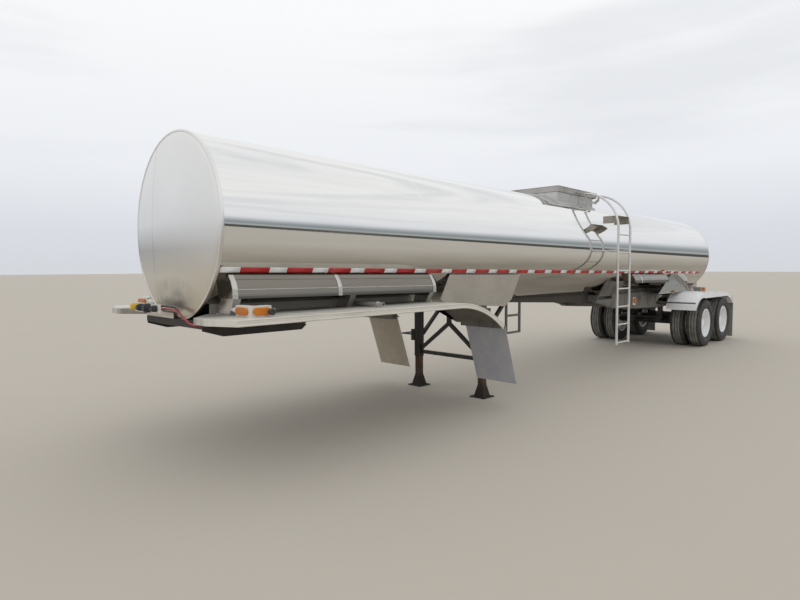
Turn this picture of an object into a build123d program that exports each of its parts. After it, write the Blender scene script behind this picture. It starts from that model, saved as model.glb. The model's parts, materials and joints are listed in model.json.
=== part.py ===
from build123d import *
import os
from math import acos, atan2, cos, degrees, hypot, radians, sin, sqrt

# Polished tank semi-trailer for liquid food, parked on its landing legs with no tractor.
# Millimetres. +X is forward, +Y is the trailer's left side, +Z is up, the ground is at zero.
# The word station means the distance behind the front rim of the tank.

os.makedirs("parts", exist_ok=True)

# Tank
tank_length = 12300.0
tank_radius = 838.0
tank_belly_front = 1230.0  # underside above the ground at the front rim
tank_fall = 122.0  # the axis drops this much to the rear rim, so that the tank drains
rim_proud = 5.0
rim_width = 30.0
front_crown = 70.0
rear_crown = 130.0
seat = 0.3  # gap where a curved face lies against another piece

# Width over the deck, and the deck's reach ahead of the front rim
overall_width = 2438.0
front_reach = 215.0

# Front deck, the fender over the tractor's rear wheels
deck_rise = 86.0  # its top above the tank's underside
deck_sheet = 5.0
deck_lip = 52.0
deck_lip_wall = 14.0
deck_inner = 500.0  # half the opening under the tank
deck_chamfer_x = 125.0
deck_chamfer_y = 255.0
deck_nose_inset = 439.0  # the inner corner is cut back from this far inside the outer edge
deck_nose_cut = 250.0
deck_bend_station = 2525.0
deck_bend_radius = 1300.0
deck_bend_angle = 39.4

# Upper coupler and kingpin
coupler_drop = 65.0  # its face below the tank's underside
coupler_half_width = 560.0
coupler_front = 40.0  # ahead of the front rim
coupler_tail = 345.0  # flat face behind the kingpin
coupler_rake = 85.0
coupler_plate = 12.0
kingpin_station = 640.0
kingpin_collar_radius = 36.5
kingpin_neck_radius = 25.4
kingpin_foot_radius = 35.7
kingpin_collar = 27.0
kingpin_neck = 35.0
kingpin_foot = 22.0
kingpin_seat = 0.05  # clearance of the collar in the coupler's plate

# Landing gear
leg_behind_deck = 464.0
leg_outer = 100.0
leg_inner = 82.0
leg_sleeve_bottom = 425.0
foot_side = 230.0
foot_thickness = 14.0
foot_flare_top = 165.0

# Running gear
tyre_radius = 500.0
rim_radius = 286.0
flange_radius = 302.0
flange_half_width = 114.0
outer_tyre_inset = 154.0  # middle of an outer tyre inside the deck's width
dual_spacing = 330.0
axle_spacing = 1250.0
axle_tube_radius = 63.5
spindle_radius = 38.0
spindle_clearance = 0.05

# Rear frame, and the valve cabinet that sets its length
rail_to_tyre = 235.0  # outer face of a rail to the middle of an inner tyre
rail_width = 90.0
rail_rise = 360.0  # underside of the rails above the axles
rail_height = 340.0
mid_rail_outer = 320.0
mid_rail_width = 80.0
cabinet_length = 450.0
cabinet_height = 545.0
guard_bar = 60.0

# Dome box and lid on the tank's top
dome_front_station = 5920.0
dome_length = 1200.0
dome_width = 900.0
dome_wall = 6.0
lid_top_rise = 133.0  # top of the lid above the tank's top line
lid_skirt = 90.0
lid_sheet = 5.0
lid_side_gap = 12.0
lid_rear_overhang = 95.0
lid_gap = 6.0

# Ladder
ladder_behind_dome_front = 860.0
ladder_rail_spacing = 460.0
ladder_inset = 153.0
ladder_rail_radius = 19.0
ladder_rung_radius = 12.5
ladder_bottom = 436.0
rung_first = 466.0
rung_pitch = 293.0
rung_count = 7
hoop_radius = 610.0

# Heights worked out from the sizes above
tank_front_height = tank_belly_front + tank_radius
deck_top = tank_belly_front + deck_rise
coupler_bottom = tank_belly_front - coupler_drop
coupler_top = deck_top - 61.0
axle_height = tyre_radius
rail_bottom = axle_height + rail_rise
rail_top = rail_bottom + rail_height

# Stations worked out from the sizes above
deck_tail_station = deck_bend_station + deck_bend_radius * sin(radians(deck_bend_angle))
deck_tail_height = deck_top - deck_bend_radius * (1 - cos(radians(deck_bend_angle)))
leg_station = deck_tail_station + leg_behind_deck
cabinet_front = tank_length + rear_crown + 10.0
cabinet_rear = cabinet_front + cabinet_length
rail_end = cabinet_rear + 110.0
rear_axle = rail_end - 755.0
front_axle = rear_axle - axle_spacing
axle_stations = (front_axle, rear_axle)
rail_front = front_axle - 3715.0
guard_front = rail_end + 40.0
rear_reach = guard_front + guard_bar
front_rim_x = (rear_reach - front_reach) / 2

# Widths worked out from the sizes above
half_width = overall_width / 2
outer_tyre_y = half_width - outer_tyre_inset
inner_tyre_y = outer_tyre_y - dual_spacing
hub_y = outer_tyre_y - dual_spacing / 2
rail_outer = inner_tyre_y - rail_to_tyre
rail_inner = rail_outer - rail_width
leg_half_track = rail_outer + 10.0 + leg_outer / 2

tilt = degrees(atan2(tank_fall, tank_length))
barrel_length = hypot(tank_fall, tank_length)


def along(station):
    """X of a station."""
    return front_rim_x - station


def axis_height(station):
    """Height of the tank's axis at a station."""
    return tank_front_height - tank_fall * station / tank_length


def belly(station, y):
    """Height of the tank's underside at a station, at a distance y from its middle."""
    return axis_height(station) - sqrt(tank_radius**2 - y**2)


def tank_plane(station):
    """Plane square to the tank's axis, seen from the front, with its own Y up."""
    back = (-cos(radians(tilt)), 0, -sin(radians(tilt)))
    return Plane(origin=(along(station), 0, axis_height(station)), x_dir=(0, -1, 0), z_dir=back)


def tank_side_plane(station):
    """Plane through the axis: its X runs back along the axis, its Y is the radius."""
    back = (-cos(radians(tilt)), 0, -sin(radians(tilt)))
    return Plane(origin=(along(station), 0, axis_height(station)), x_dir=back, z_dir=(0, 1, 0))


def tank_top_plane(station):
    """Plane of the axis, X forward, Y left, Z away from the axis."""
    ahead = (cos(radians(tilt)), 0, sin(radians(tilt)))
    away = (-sin(radians(tilt)), 0, cos(radians(tilt)))
    return Plane(origin=(along(station), 0, axis_height(station)), x_dir=ahead, z_dir=away)


def side_plane(y):
    """Upright plane facing left at y, with its X forward and its Y up."""
    return Plane(origin=(0, y, 0), x_dir=(-1, 0, 0), z_dir=(0, 1, 0))


def side_points(points):
    """Points given as (station, height) in the axes of side_plane."""
    return [(-along(station), height) for station, height in points]


def cross_plane(station):
    """Upright plane across the trailer at a station, facing back, X right and Y up."""
    return Plane(origin=(along(station), 0, 0), x_dir=(0, -1, 0), z_dir=(-1, 0, 0))


def tank_space():
    """Cut the room of the tank and its two rims, with their seat, from the open part."""
    with BuildSketch(tank_plane(0)) as barrel_room:
        Circle(tank_radius + seat)
    extrude(barrel_room.sketch, amount=barrel_length, mode=Mode.SUBTRACT)
    for station in (-seat, tank_length - rim_width - seat):
        with BuildSketch(tank_plane(station)) as rim_room:
            Circle(tank_radius + rim_proud + seat)
        extrude(rim_room.sketch, amount=rim_width + 2 * seat, mode=Mode.SUBTRACT)


def box(stations, widths, heights):
    """Add a block to the open part between two stations, two Y values and two heights."""
    centre = (along(sum(stations) / 2), sum(widths) / 2, sum(heights) / 2)
    with Locations(centre):
        Box(stations[1] - stations[0], widths[1] - widths[0], heights[1] - heights[0])


def both_sides(stations, widths, heights):
    """Add the same block on the left and on the right."""
    box(stations, widths, heights)
    box(stations, (-widths[1], -widths[0]), heights)


def side_profile(points, y, thickness, mode=Mode.ADD):
    """Add or cut a plate standing along the trailer from its (station, height) corners."""
    with BuildSketch(side_plane(y)) as outline:
        with BuildLine():
            Polyline(*side_points(points), close=True)
        make_face()
    extrude(outline.sketch, amount=thickness, mode=mode)


def cross_profile(points, station, thickness):
    """Add a plate standing across the trailer from its (y, height) corners."""
    with BuildSketch(cross_plane(station)) as outline:
        with BuildLine():
            Polyline(*[(-y, height) for y, height in points], close=True)
        make_face()
    extrude(outline.sketch, amount=thickness)


def tank_profile(points, station, length):
    """Add a bar along the tank on both sides from its (y, rise from the axis) corners."""
    for side in (1, -1):
        with BuildSketch(tank_plane(station)) as outline:
            with BuildLine():
                Polyline(*[(side * y, rise) for y, rise in points], close=True)
            make_face()
        extrude(outline.sketch, amount=length)


def rod(station, widths, height, radius, mode=Mode.ADD):
    """Add or cut a round bar lying across the trailer."""
    with Locations((along(station), sum(widths) / 2, height)):
        Cylinder(radius, widths[1] - widths[0], rotation=(90, 0, 0), mode=mode)


def finish(part, name):
    """Label a finished piece and write it."""
    part.label = name
    export_step(part, f"parts/{name}.step")


leg_top = belly(leg_station, 0) - 22.0


# Tank barrel between the two rims
with BuildPart() as tank_barrel:
    with BuildSketch(tank_plane(0).offset(rim_width)):
        Circle(tank_radius)
    extrude(amount=barrel_length - 2 * rim_width)

finish(tank_barrel.part, "tank_barrel")


def head_profile(face, sense, crown):
    """Half section of a dished head: a rim bead, a step, then a shallow crown.

    face is the distance of the barrel's end along the axis and sense points outward.
    """
    step = 24.0
    edge = tank_radius - step
    outside = face + sense * rim_width
    sphere = (edge**2 + crown**2) / (2 * crown)
    half = edge / 2
    middle = outside + sense * (sqrt(sphere**2 - half**2) - sphere + crown)
    with BuildLine() as outline:
        Polyline(
            (outside + sense * crown, 0),
            (face, 0),
            (face, tank_radius + rim_proud),
            (outside, tank_radius + rim_proud),
            (outside, edge),
        )
        ThreePointArc((outside, edge), (middle, half), (outside + sense * crown, 0))
    return outline.line


tank_axis = Axis((front_rim_x, 0, tank_front_height), (-tank_length, 0, -tank_fall))

with BuildPart() as tank_heads:
    with BuildSketch(tank_side_plane(0)):
        add(head_profile(rim_width, -1, front_crown))
        make_face()
    revolve(axis=tank_axis)
    with BuildSketch(tank_side_plane(0)):
        add(head_profile(barrel_length - rim_width, 1, rear_crown))
        make_face()
    revolve(axis=tank_axis)

finish(tank_heads.part, "tank_heads")


# Dome box: an upright box round the manway on a flange rolled to the tank
dome_station = dome_front_station + dome_length / 2
lid_roof = tank_radius + lid_top_rise
dome_top = lid_roof - lid_sheet - lid_gap
flange_thickness = 14.0
flange_ahead = 300.0
flange_side = 45.0

# Lid and its hinge along the right edge; the axis lies level with the skirt's edge
lid_width = dome_width + 2 * (lid_side_gap + lid_sheet)
lid_length = dome_length + 2 * (lid_side_gap + lid_sheet) + lid_rear_overhang
lid_shift = -lid_rear_overhang / 2
lid_bead = 6.0
hinge_radius = 11.0
hinge_pin_radius = 5.0
hinge_clearance = 0.05
hinge_out = 14.0
hinge_y = lid_width / 2 + hinge_out
hinge_rise = lid_roof - lid_skirt
hinge_leaf = 120.0
hinge_places = (-430.0, 430.0)
knuckle_gap = 1.0
cheek = 10.0
cheek_radius = 9.0
cheek_under = 6.0

with BuildPart() as dome_box:
    flange_length = dome_length + flange_ahead + flange_side
    flange_centre = (flange_ahead - flange_side) / 2
    with BuildSketch(tank_top_plane(dome_station).offset(tank_radius / 2)):
        with Locations((flange_centre, 0)):
            RectangleRounded(flange_length, dome_width + 2 * flange_side, 40)
    extrude(amount=tank_radius)
    with BuildSketch(tank_plane(0)):
        Circle(tank_radius + flange_thickness)
    extrude(amount=barrel_length, mode=Mode.INTERSECT)
    with BuildSketch(tank_top_plane(dome_station).offset(tank_radius / 2)):
        Rectangle(dome_length, dome_width)
    extrude(amount=dome_top - tank_radius / 2)
    with BuildSketch(tank_top_plane(dome_station).offset(tank_radius / 2)):
        Rectangle(dome_length - 2 * dome_wall, dome_width - 2 * dome_wall)
    extrude(amount=tank_radius, mode=Mode.SUBTRACT)
    # Hinge brackets on the box's right wall: two cheeks and a pin at each place
    wall = dome_width / 2
    for place in hinge_places:
        first = dome_station - place - hinge_leaf / 2 - knuckle_gap - cheek
        for start in (first, first + hinge_leaf + 2 * knuckle_gap + cheek):
            with BuildSketch(tank_plane(start)):
                with Locations((hinge_y, hinge_rise)):
                    Circle(cheek_radius)
                with BuildLine():
                    Polyline(
                        (hinge_y + cheek_radius - 1, hinge_rise - 4),
                        (hinge_y - cheek_radius + 1, hinge_rise - 4),
                        (hinge_y - cheek_radius - 2, hinge_rise - cheek_under),
                        (wall - 1, hinge_rise - cheek_under),
                        (wall - 1, hinge_rise - 60),
                        (wall + 10, hinge_rise - 60),
                        close=True,
                    )
                make_face()
            extrude(amount=cheek)
        with BuildSketch(tank_plane(first)):
            with Locations((hinge_y, hinge_rise)):
                Circle(hinge_pin_radius)
        extrude(amount=hinge_leaf + 2 * (knuckle_gap + cheek))
    tank_space()

finish(dome_box.part, "dome_box")

# Manway inside the box: collar, cover and hand nuts, with a breather beside it
manway_radius = 255.0
collar_rise = 34.0
cover_radius = 275.0
cover_thickness = 12.0
cover_crown = 14.0
nut_count = 6
breather_ahead = 440.0

with BuildPart() as manway_cover:
    with BuildSketch(tank_top_plane(dome_station).offset(tank_radius - 90)):
        Circle(manway_radius)
    extrude(amount=90 + collar_rise)
    with BuildSketch(tank_top_plane(dome_station).offset(tank_radius + collar_rise)):
        Circle(cover_radius)
    extrude(amount=cover_thickness)
    with BuildSketch(tank_top_plane(dome_station).offset(tank_radius + collar_rise + cover_thickness)):
        Circle(cover_radius - 40)
    extrude(amount=cover_crown, taper=35)
    with BuildSketch(tank_top_plane(dome_station).offset(tank_radius + collar_rise - 20)):
        with PolarLocations(cover_radius, nut_count):
            Circle(17)
    extrude(amount=cover_thickness + 42)
    with BuildSketch(tank_top_plane(dome_station).offset(tank_radius - 60)):
        with Locations((breather_ahead, 0)):
            Circle(60)
    extrude(amount=60 + 70)
    tank_space()

finish(manway_cover.part, "manway_cover")

# Lid over the box: a shallow pan with a bead round its roof and a grip on the left
with BuildPart() as dome_lid:
    with BuildSketch(tank_top_plane(dome_station).offset(lid_roof - lid_skirt)):
        with Locations((lid_shift, 0)):
            Rectangle(lid_length, lid_width)
    extrude(amount=lid_skirt)
    with BuildSketch(tank_top_plane(dome_station).offset(lid_roof - lid_skirt)):
        with Locations((lid_shift, 0)):
            Rectangle(lid_length - 2 * lid_sheet, lid_width - 2 * lid_sheet)
    extrude(amount=lid_skirt - lid_sheet, mode=Mode.SUBTRACT)
    with BuildSketch(tank_top_plane(dome_station).offset(lid_roof - 10)):
        with Locations((lid_shift, 0)):
            Rectangle(lid_length + 2 * lid_bead, lid_width + 2 * lid_bead)
    extrude(amount=10)
    with BuildSketch(tank_top_plane(dome_station).offset(lid_roof - 62)):
        with Locations((lid_shift, lid_width / 2 + 10)):
            Rectangle(180, 22)
    extrude(amount=10)
    for place in hinge_places:
        knuckle_plane = tank_plane(dome_station - place - hinge_leaf / 2)
        with BuildSketch(knuckle_plane):
            with Locations((hinge_y, hinge_rise)):
                Circle(hinge_radius)
            with Locations((hinge_y - hinge_out / 2 - 1, hinge_rise + 6)):
                Rectangle(hinge_out + 4, 10)
        extrude(amount=hinge_leaf)
        with BuildSketch(knuckle_plane):
            with Locations((hinge_y, hinge_rise)):
                Circle(hinge_pin_radius + hinge_clearance)
        extrude(amount=hinge_leaf, mode=Mode.SUBTRACT)

finish(dome_lid.part, "dome_lid")

# Ladder on the left side, with two hoops over the shoulder that end beside the lid
ladder_y = half_width - ladder_inset
hoop_y = ladder_y - hoop_radius
ladder_front = dome_front_station + ladder_behind_dome_front
ladder_stations = (ladder_front, ladder_front + ladder_rail_spacing)
hoop_start = axis_height(ladder_front) + tank_radius - 526.0
hoop_end_y = lid_width / 2 + 28.0
hoop_angle = acos((hoop_end_y - hoop_y) / hoop_radius)
hoop_end_height = hoop_start + hoop_radius * sin(hoop_angle)
bracket_plate = 8.0
box_side = dome_width / 2

with BuildPart() as ladder_rails:
    for station in ladder_stations:
        with BuildLine(cross_plane(station)):
            Line((-ladder_y, ladder_bottom), (-ladder_y, hoop_start))
            CenterArc((-hoop_y, hoop_start), hoop_radius, 180, -degrees(hoop_angle))
        with BuildSketch(Plane(origin=(along(station), ladder_y, ladder_bottom), z_dir=(0, 0, 1))):
            Circle(ladder_rail_radius)
        sweep()
        rod(station, (tank_radius / 2, ladder_y), axis_height(station) - 35, ladder_rung_radius)
        # Bracket from the hoop's end down to the side of the dome box
        lid_edge = axis_height(station) + lid_roof - lid_skirt
        cross_profile(
            [
                (hoop_end_y + 6, hoop_end_height),
                (hoop_end_y + 34, hoop_end_height),
                (hoop_end_y + 24, lid_edge - 40),
                (box_side, lid_edge - 96),
                (box_side, lid_edge - 30),
                (box_side + 30, lid_edge - 20),
            ],
            station - bracket_plate / 2,
            bracket_plate,
        )
    # The rear hoop stands behind the box, so its bracket has a strip along the wall
    strip_low = axis_height(ladder_stations[1]) + lid_roof - lid_skirt - 92
    strip_ends = (dome_front_station + dome_length - 45, ladder_stations[1] + bracket_plate / 2)
    box(strip_ends, (box_side, box_side + 6), (strip_low, strip_low + 45))
    tank_space()

finish(ladder_rails.part, "ladder_rails")

# Rungs
with BuildPart() as ladder_rungs:
    rung_middle = along(sum(ladder_stations) / 2)
    for number in range(rung_count):
        with Locations((rung_middle, ladder_y, rung_first + number * rung_pitch)):
            Cylinder(ladder_rung_radius, ladder_rail_spacing, rotation=(0, 90, 0))
    add(ladder_rails.part, mode=Mode.SUBTRACT)

finish(ladder_rungs.part, "ladder_rungs")

# Folded sheet step between the hoops, over the tank's shoulder
step_top = hoop_start + 215.0
step_depth = 118.0
step_sheet = 5.0
step_inner_y = ladder_y - 266.0
step_outer_y = ladder_y - 20.0
step_bite = 2.0  # the step starts this far inside the hoops' sides and is cut to them
step_front = ladder_stations[0] + ladder_rail_radius - step_bite
step_rear = ladder_stations[1] - ladder_rail_radius + step_bite

with BuildPart() as ladder_step:
    box((step_front, step_rear), (step_inner_y, step_outer_y), (step_top - step_depth, step_top))
    with BuildSketch(cross_plane(step_front + step_sheet)):
        with Locations((-(step_inner_y + step_outer_y) / 2, step_top - step_depth / 2 - step_sheet)):
            Rectangle(step_outer_y - step_inner_y + 200, step_depth)
    extrude(amount=step_rear - step_front - 2 * step_sheet, mode=Mode.SUBTRACT)
    add(ladder_rails.part, mode=Mode.SUBTRACT)
    tank_space()

finish(ladder_step.part, "ladder_step")


# Front deck: two fenders beside the tank, each with a folded edge and a bent tail
def deck_side(upper, lower):
    """Side outline of a layer of the deck between two depths below its top."""
    nose = -front_reach - 40
    rows = []
    for depth in (upper, lower):
        radius = deck_bend_radius - depth
        row = [(nose, deck_top - depth), (deck_bend_station, deck_top - depth)]
        for part_angle in (deck_bend_angle / 2, deck_bend_angle):
            turn = radians(part_angle)
            drop = radius * (1 - cos(turn))
            row.append((deck_bend_station + radius * sin(turn), deck_top - depth - drop))
        rows.append(side_points(row))
    top, under = rows
    with BuildLine() as outline:
        Line(top[0], top[1])
        ThreePointArc(top[1], top[2], top[3])
        Line(top[3], under[3])
        ThreePointArc(under[3], under[2], under[1])
        Line(under[1], under[0])
        Line(under[0], top[0])
    return outline.line


def deck_plan(inset, side):
    """Plan outline of one fender, with its outer and front edges set in."""
    nose = along(-front_reach) - inset
    outer = half_width - inset
    tail = along(deck_tail_station + 400)
    with BuildLine() as outline:
        Polyline(
            (tail, side * deck_inner),
            (along(deck_nose_cut - front_reach) - inset, side * deck_inner),
            (nose, side * (half_width - deck_nose_inset + inset / 2)),
            (nose, side * (half_width - deck_chamfer_y - inset / 2)),
            (nose - deck_chamfer_x + inset / 2, side * outer),
            (tail, side * outer),
            close=True,
        )
    return outline.line


with BuildPart() as deck_hollow:
    with BuildSketch(side_plane(-half_width - 20)):
        add(deck_side(deck_sheet, deck_lip + 40))
        make_face()
    extrude(amount=2 * half_width + 40)
    with BuildSketch(Plane.XY.offset(deck_top - 1000)):
        for side in (1, -1):
            add(deck_plan(deck_lip_wall, side))
            make_face()
    extrude(amount=1200, mode=Mode.INTERSECT)

riser_front = 60.0
riser_heights = (deck_top - deck_sheet, deck_top + 120.0)

with BuildPart() as front_deck:
    with BuildSketch(side_plane(-half_width - 20)):
        add(deck_side(0, deck_lip))
        make_face()
    extrude(amount=2 * half_width + 40)
    with BuildSketch(Plane.XY.offset(deck_top - 1000)):
        for side in (1, -1):
            add(deck_plan(0, side))
            make_face()
    extrude(amount=1200, mode=Mode.INTERSECT)
    add(deck_hollow.part, mode=Mode.SUBTRACT)
    # Riser along the inner edge, up to the tank
    both_sides((riser_front, deck_bend_station), (deck_inner, deck_inner + deck_sheet), riser_heights)
    tank_space()

finish(front_deck.part, "front_deck")


# Lower skirts of the tank: they leave it at the tape line and hang a little proud of it
tape_angle = 29.5  # below level, seen from the axis
tape_proud = 19.0
tape_y = (tank_radius + tape_proud) * cos(radians(tape_angle))
tape_drop = (tank_radius + tape_proud) * sin(radians(tape_angle))
front_skirt_depth = 195.0
rear_skirt_depth = 158.0
front_skirt = (110.0, deck_bend_station + 65.0)
rear_skirt = (front_axle - 2875.0, front_axle - 1195.0)
band_width = 38.0
band_thickness = 4.0


def skirt_edge(depth):
    """Outer edge of a skirt as (y, rise from the axis), from the tape line down."""
    shares = ((0.0, 0.0), (44.0, 0.3), (69.0, 0.6), (74.0, 1.0))
    return [(tape_y + out, -tape_drop - share * depth) for out, share in shares]


# Ends and depth of each skirt, and the stations of the bands on it
skirt_table = (
    (front_skirt, front_skirt_depth, (front_skirt[0], 1200.0, front_skirt[1] - band_width)),
    (rear_skirt, rear_skirt_depth, (rear_skirt[0] + 290.0,)),
)

with BuildPart() as tank_skirts:
    for (start, end), depth, bands in skirt_table:
        edge = skirt_edge(depth)
        tank_profile([*edge, (tape_y - 266.0, -tape_drop - depth)], start, end - start)
        outside = [(y + band_thickness, rise + 1) for y, rise in reversed(edge)]
        for station in bands:
            tank_profile([*edge, *outside], station, band_width)
    tank_space()

finish(tank_skirts.part, "tank_skirts")

# Saddle posts between the deck and the skirt lean outward as they rise
post_plate = 8.0
post_flange = 70.0
post_edge = 12.0
post_lean = 75.0
deck_beam = 50.0
skirt_y = tape_y + 69.0

# Station and how far the post's outer edge stands inside the skirt's
post_table = ((front_skirt[0], 0.0), (1390.0, 45.0), (front_skirt[1] - 90.0, 0.0))

# Panels over the landing gear: a sheet that leans in as it goes down, as (y, rise from the
# axis), and its outline as (distance behind the legs, height over their tops)
panel_sheet = 6.0
panel_top = (tape_y, -tape_drop)
panel_low = (tape_y - 128.0, -tape_drop - 434.0)
panel_outline = (
    (-864.0, 560.0),
    (616.0, 560.0),
    (551.0, 100.0),
    (432.0, 4.0),
    (-830.0, 89.0),
    (-964.0, 160.0),
)

with BuildPart() as panel_space:
    panel_corners = [(leg_station + behind, leg_top + over) for behind, over in panel_outline]
    side_profile(panel_corners, -half_width, overall_width)

with BuildPart() as front_saddles:
    inside = [(panel_low[0] - panel_sheet, panel_low[1]), (panel_top[0] - panel_sheet, panel_top[1])]
    tank_profile([panel_top, panel_low, *inside], leg_station - 1000, 1700)
    add(panel_space.part, mode=Mode.INTERSECT)
    # Cross plates behind the panels, up to the tank
    for station in (leg_station - 800, leg_station + 400):
        rib_low = panel_low[1] + 60
        rib_edge = [(panel_top[0] - 5, panel_top[1] - 4), (panel_low[0] + 14, rib_low)]
        tank_profile([*rib_edge, (400, rib_low), (400, panel_top[1])], station, post_plate)
    for station, inset in post_table:
        foot = deck_top - 2
        head = axis_height(station) - tape_drop - front_skirt_depth + 2
        top_y = skirt_y - inset
        foot_y = top_y - post_lean
        for side in (1, -1):
            post = [(deck_inner + 50, foot), (foot_y, foot), (top_y, head), (deck_inner + 100, head)]
            cross_profile([(side * y, height) for y, height in post], station, post_plate)
            edge = [(foot_y - post_edge, foot), (foot_y, foot), (top_y, head), (top_y - post_edge, head)]
            cross_profile([(side * y, height) for y, height in edge], station, post_flange)
    # Beams under the deck
    for station in (250.0, 1330.0, deck_bend_station - 125.0):
        beam_widths = (deck_inner, half_width - deck_lip_wall)
        both_sides((station, station + deck_beam), beam_widths, (deck_top - 48, deck_top - 2))
    add(front_deck.part, mode=Mode.SUBTRACT)
    add(tank_skirts.part, mode=Mode.SUBTRACT)
    tank_space()

finish(front_saddles.part, "front_saddles")

# Upper coupler: a box with a flat face underneath, a turned-up nose and a raked tail
coupler_rear = kingpin_station + coupler_tail
coupler_web = 12.0
coupler_tail_station = coupler_rear + coupler_rake
web_inner = (deck_inner - coupler_web, deck_inner)
web_heights = (coupler_top, deck_top + 134.0)

with BuildPart() as upper_coupler:
    side_profile(
        [
            (-coupler_front, coupler_bottom + 35),
            (90, coupler_bottom),
            (coupler_rear, coupler_bottom),
            (coupler_tail_station, coupler_top - 15),
            (coupler_tail_station, coupler_top),
            (-coupler_front, coupler_top),
        ],
        -coupler_half_width,
        2 * coupler_half_width,
    )
    both_sides((60, coupler_tail_station), web_inner, web_heights)
    for station in (kingpin_station - 340, kingpin_station + 260):
        both_sides((station, station + coupler_web), (200, web_inner[0]), web_heights)
    with BuildSketch(Plane.XY.offset(coupler_bottom)):
        with Locations((along(kingpin_station), 0)):
            Circle(kingpin_collar_radius + kingpin_seat)
    extrude(amount=coupler_plate, mode=Mode.SUBTRACT)
    tank_space()

finish(upper_coupler.part, "upper_coupler")

# Kingpin: a collar let into the coupler's plate, a neck and a foot
with BuildPart() as kingpin:
    with BuildSketch(Plane.XY.offset(coupler_bottom + coupler_plate)):
        with Locations((along(kingpin_station), 0)):
            Circle(kingpin_collar_radius)
    extrude(amount=-kingpin_collar - coupler_plate)
    with BuildSketch(Plane.XY.offset(coupler_bottom - kingpin_collar)):
        with Locations((along(kingpin_station), 0)):
            Circle(kingpin_neck_radius)
    extrude(amount=-kingpin_neck)
    with BuildSketch(Plane.XY.offset(coupler_bottom - kingpin_collar - kingpin_neck)):
        with Locations((along(kingpin_station), 0)):
            Circle(kingpin_foot_radius)
    extrude(amount=-kingpin_foot)
    chamfer(kingpin.edges().group_by(Axis.Z)[0], 4)

finish(kingpin.part, "kingpin")

# Connector bracket ahead of the head, with the air and electric connectors on it
bracket_front = 65.0 - front_reach
bracket_sheet = 6.0
bracket_top = deck_top + 69.0
bracket_shelf = deck_top - 16.0
bracket_sides = (-coupler_half_width, 20.0)

with BuildPart() as connector_bracket:
    side_profile(
        [
            (bracket_front, bracket_top),
            (bracket_front + bracket_sheet, bracket_top),
            (bracket_front + bracket_sheet, bracket_shelf + bracket_sheet),
            (-coupler_front + bracket_sheet, bracket_shelf + bracket_sheet),
            (-coupler_front + bracket_sheet, coupler_top),
            (-coupler_front, coupler_top),
            (-coupler_front, bracket_shelf),
            (bracket_front, bracket_shelf),
        ],
        bracket_sides[0],
        bracket_sides[1] - bracket_sides[0],
    )

finish(connector_bracket.part, "connector_bracket")

# y, body radius and body length of each connector
connector_table = (
    (-510.0, 34.0, 56.0),
    (-370.0, 34.0, 56.0),
    (-215.0, 42.0, 60.0),
    (-70.0, 30.0, 50.0),
)
connector_height = bracket_shelf + 45.0
fitting_radius = 11.0
fitting_length = 26.0
line_starts = ((-100.0, connector_height + 17), (-45.0, connector_height - 5))

with BuildPart() as connectors:
    for y, radius, length in connector_table:
        with BuildSketch(Plane(origin=(along(bracket_front), y, connector_height), z_dir=(1, 0, 0))):
            Circle(radius)
        extrude(amount=length - 18)
        with BuildSketch(Plane(origin=(along(bracket_front), y, connector_height), z_dir=(1, 0, 0))):
            Circle(radius * 0.72)
        extrude(amount=length)
    for y, height in line_starts:
        back = along(bracket_front + bracket_sheet)
        with BuildSketch(Plane(origin=(back, y, height), z_dir=(-1, 0, 0))):
            Circle(fitting_radius)
        extrude(amount=fitting_length)

finish(connectors.part, "connectors")

# Two service lines from the bracket to the coupler's nose
line_radius = 7.0
line_ends = ((coupler_half_width - 90, coupler_top - 27), (coupler_half_width - 30, coupler_top - 27))
line_turns = (-coupler_front - 22, -coupler_front - 38)
fitting_end = bracket_front + bracket_sheet + fitting_length

line_parts = []
for (start_y, start_z), (end_y, end_z), turn in zip(line_starts, line_ends, line_turns):
    with BuildPart() as service_line:
        with BuildLine():
            FilletPolyline(
                (along(fitting_end), start_y, start_z),
                (along(turn), start_y, start_z),
                (along(turn), start_y + 210, start_z - 2),
                (along(turn), end_y - 110, end_z + 12),
                (along(turn), end_y, end_z),
                (along(-coupler_front), end_y, end_z),
                radius=20,
            )
        with BuildSketch(Plane(origin=(along(fitting_end), start_y, start_z), z_dir=(-1, 0, 0))):
            Circle(line_radius)
        sweep()
    line_parts.append(service_line.part)

finish(Compound(children=line_parts), "service_lines")

# Two drain pipes lying across the left deck: station, inset of the end and radius
pipe_table = ((460.0, 359.0, 17.0), (1570.0, 184.0, 20.0))
pipe_wall = 4.0
pipe_inner_y = deck_inner + deck_sheet

with BuildPart() as deck_pipes:
    for station, inset, radius in pipe_table:
        centre = deck_top + 28
        outer_y = half_width - inset
        rod(station, (pipe_inner_y, outer_y), centre, radius)
        rod(station, (outer_y - 95, outer_y - 70), centre, 27)
        rod(station, (outer_y - 60, outer_y + 1), centre, radius - pipe_wall, Mode.SUBTRACT)

finish(deck_pipes.part, "deck_pipes")

# Landing gear: sleeves, lower legs with flared shoes, braces and a crank
leg_faces = (leg_half_track - leg_outer / 2, leg_half_track + leg_outer / 2)
head_plate = 8.0

with BuildPart() as landing_legs:
    for side in (1, -1):
        with BuildSketch(Plane.XY.offset(leg_sleeve_bottom)):
            with Locations((along(leg_station), side * leg_half_track)):
                RectangleRounded(leg_outer, leg_outer, 8)
        extrude(amount=leg_top - leg_sleeve_bottom)
    plate_widths = (leg_faces[1], leg_faces[1] + head_plate)
    both_sides((leg_station - 105, leg_station + 105), plate_widths, (leg_top - 80, leg_top - 4))

finish(landing_legs.part, "landing_legs")

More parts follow.
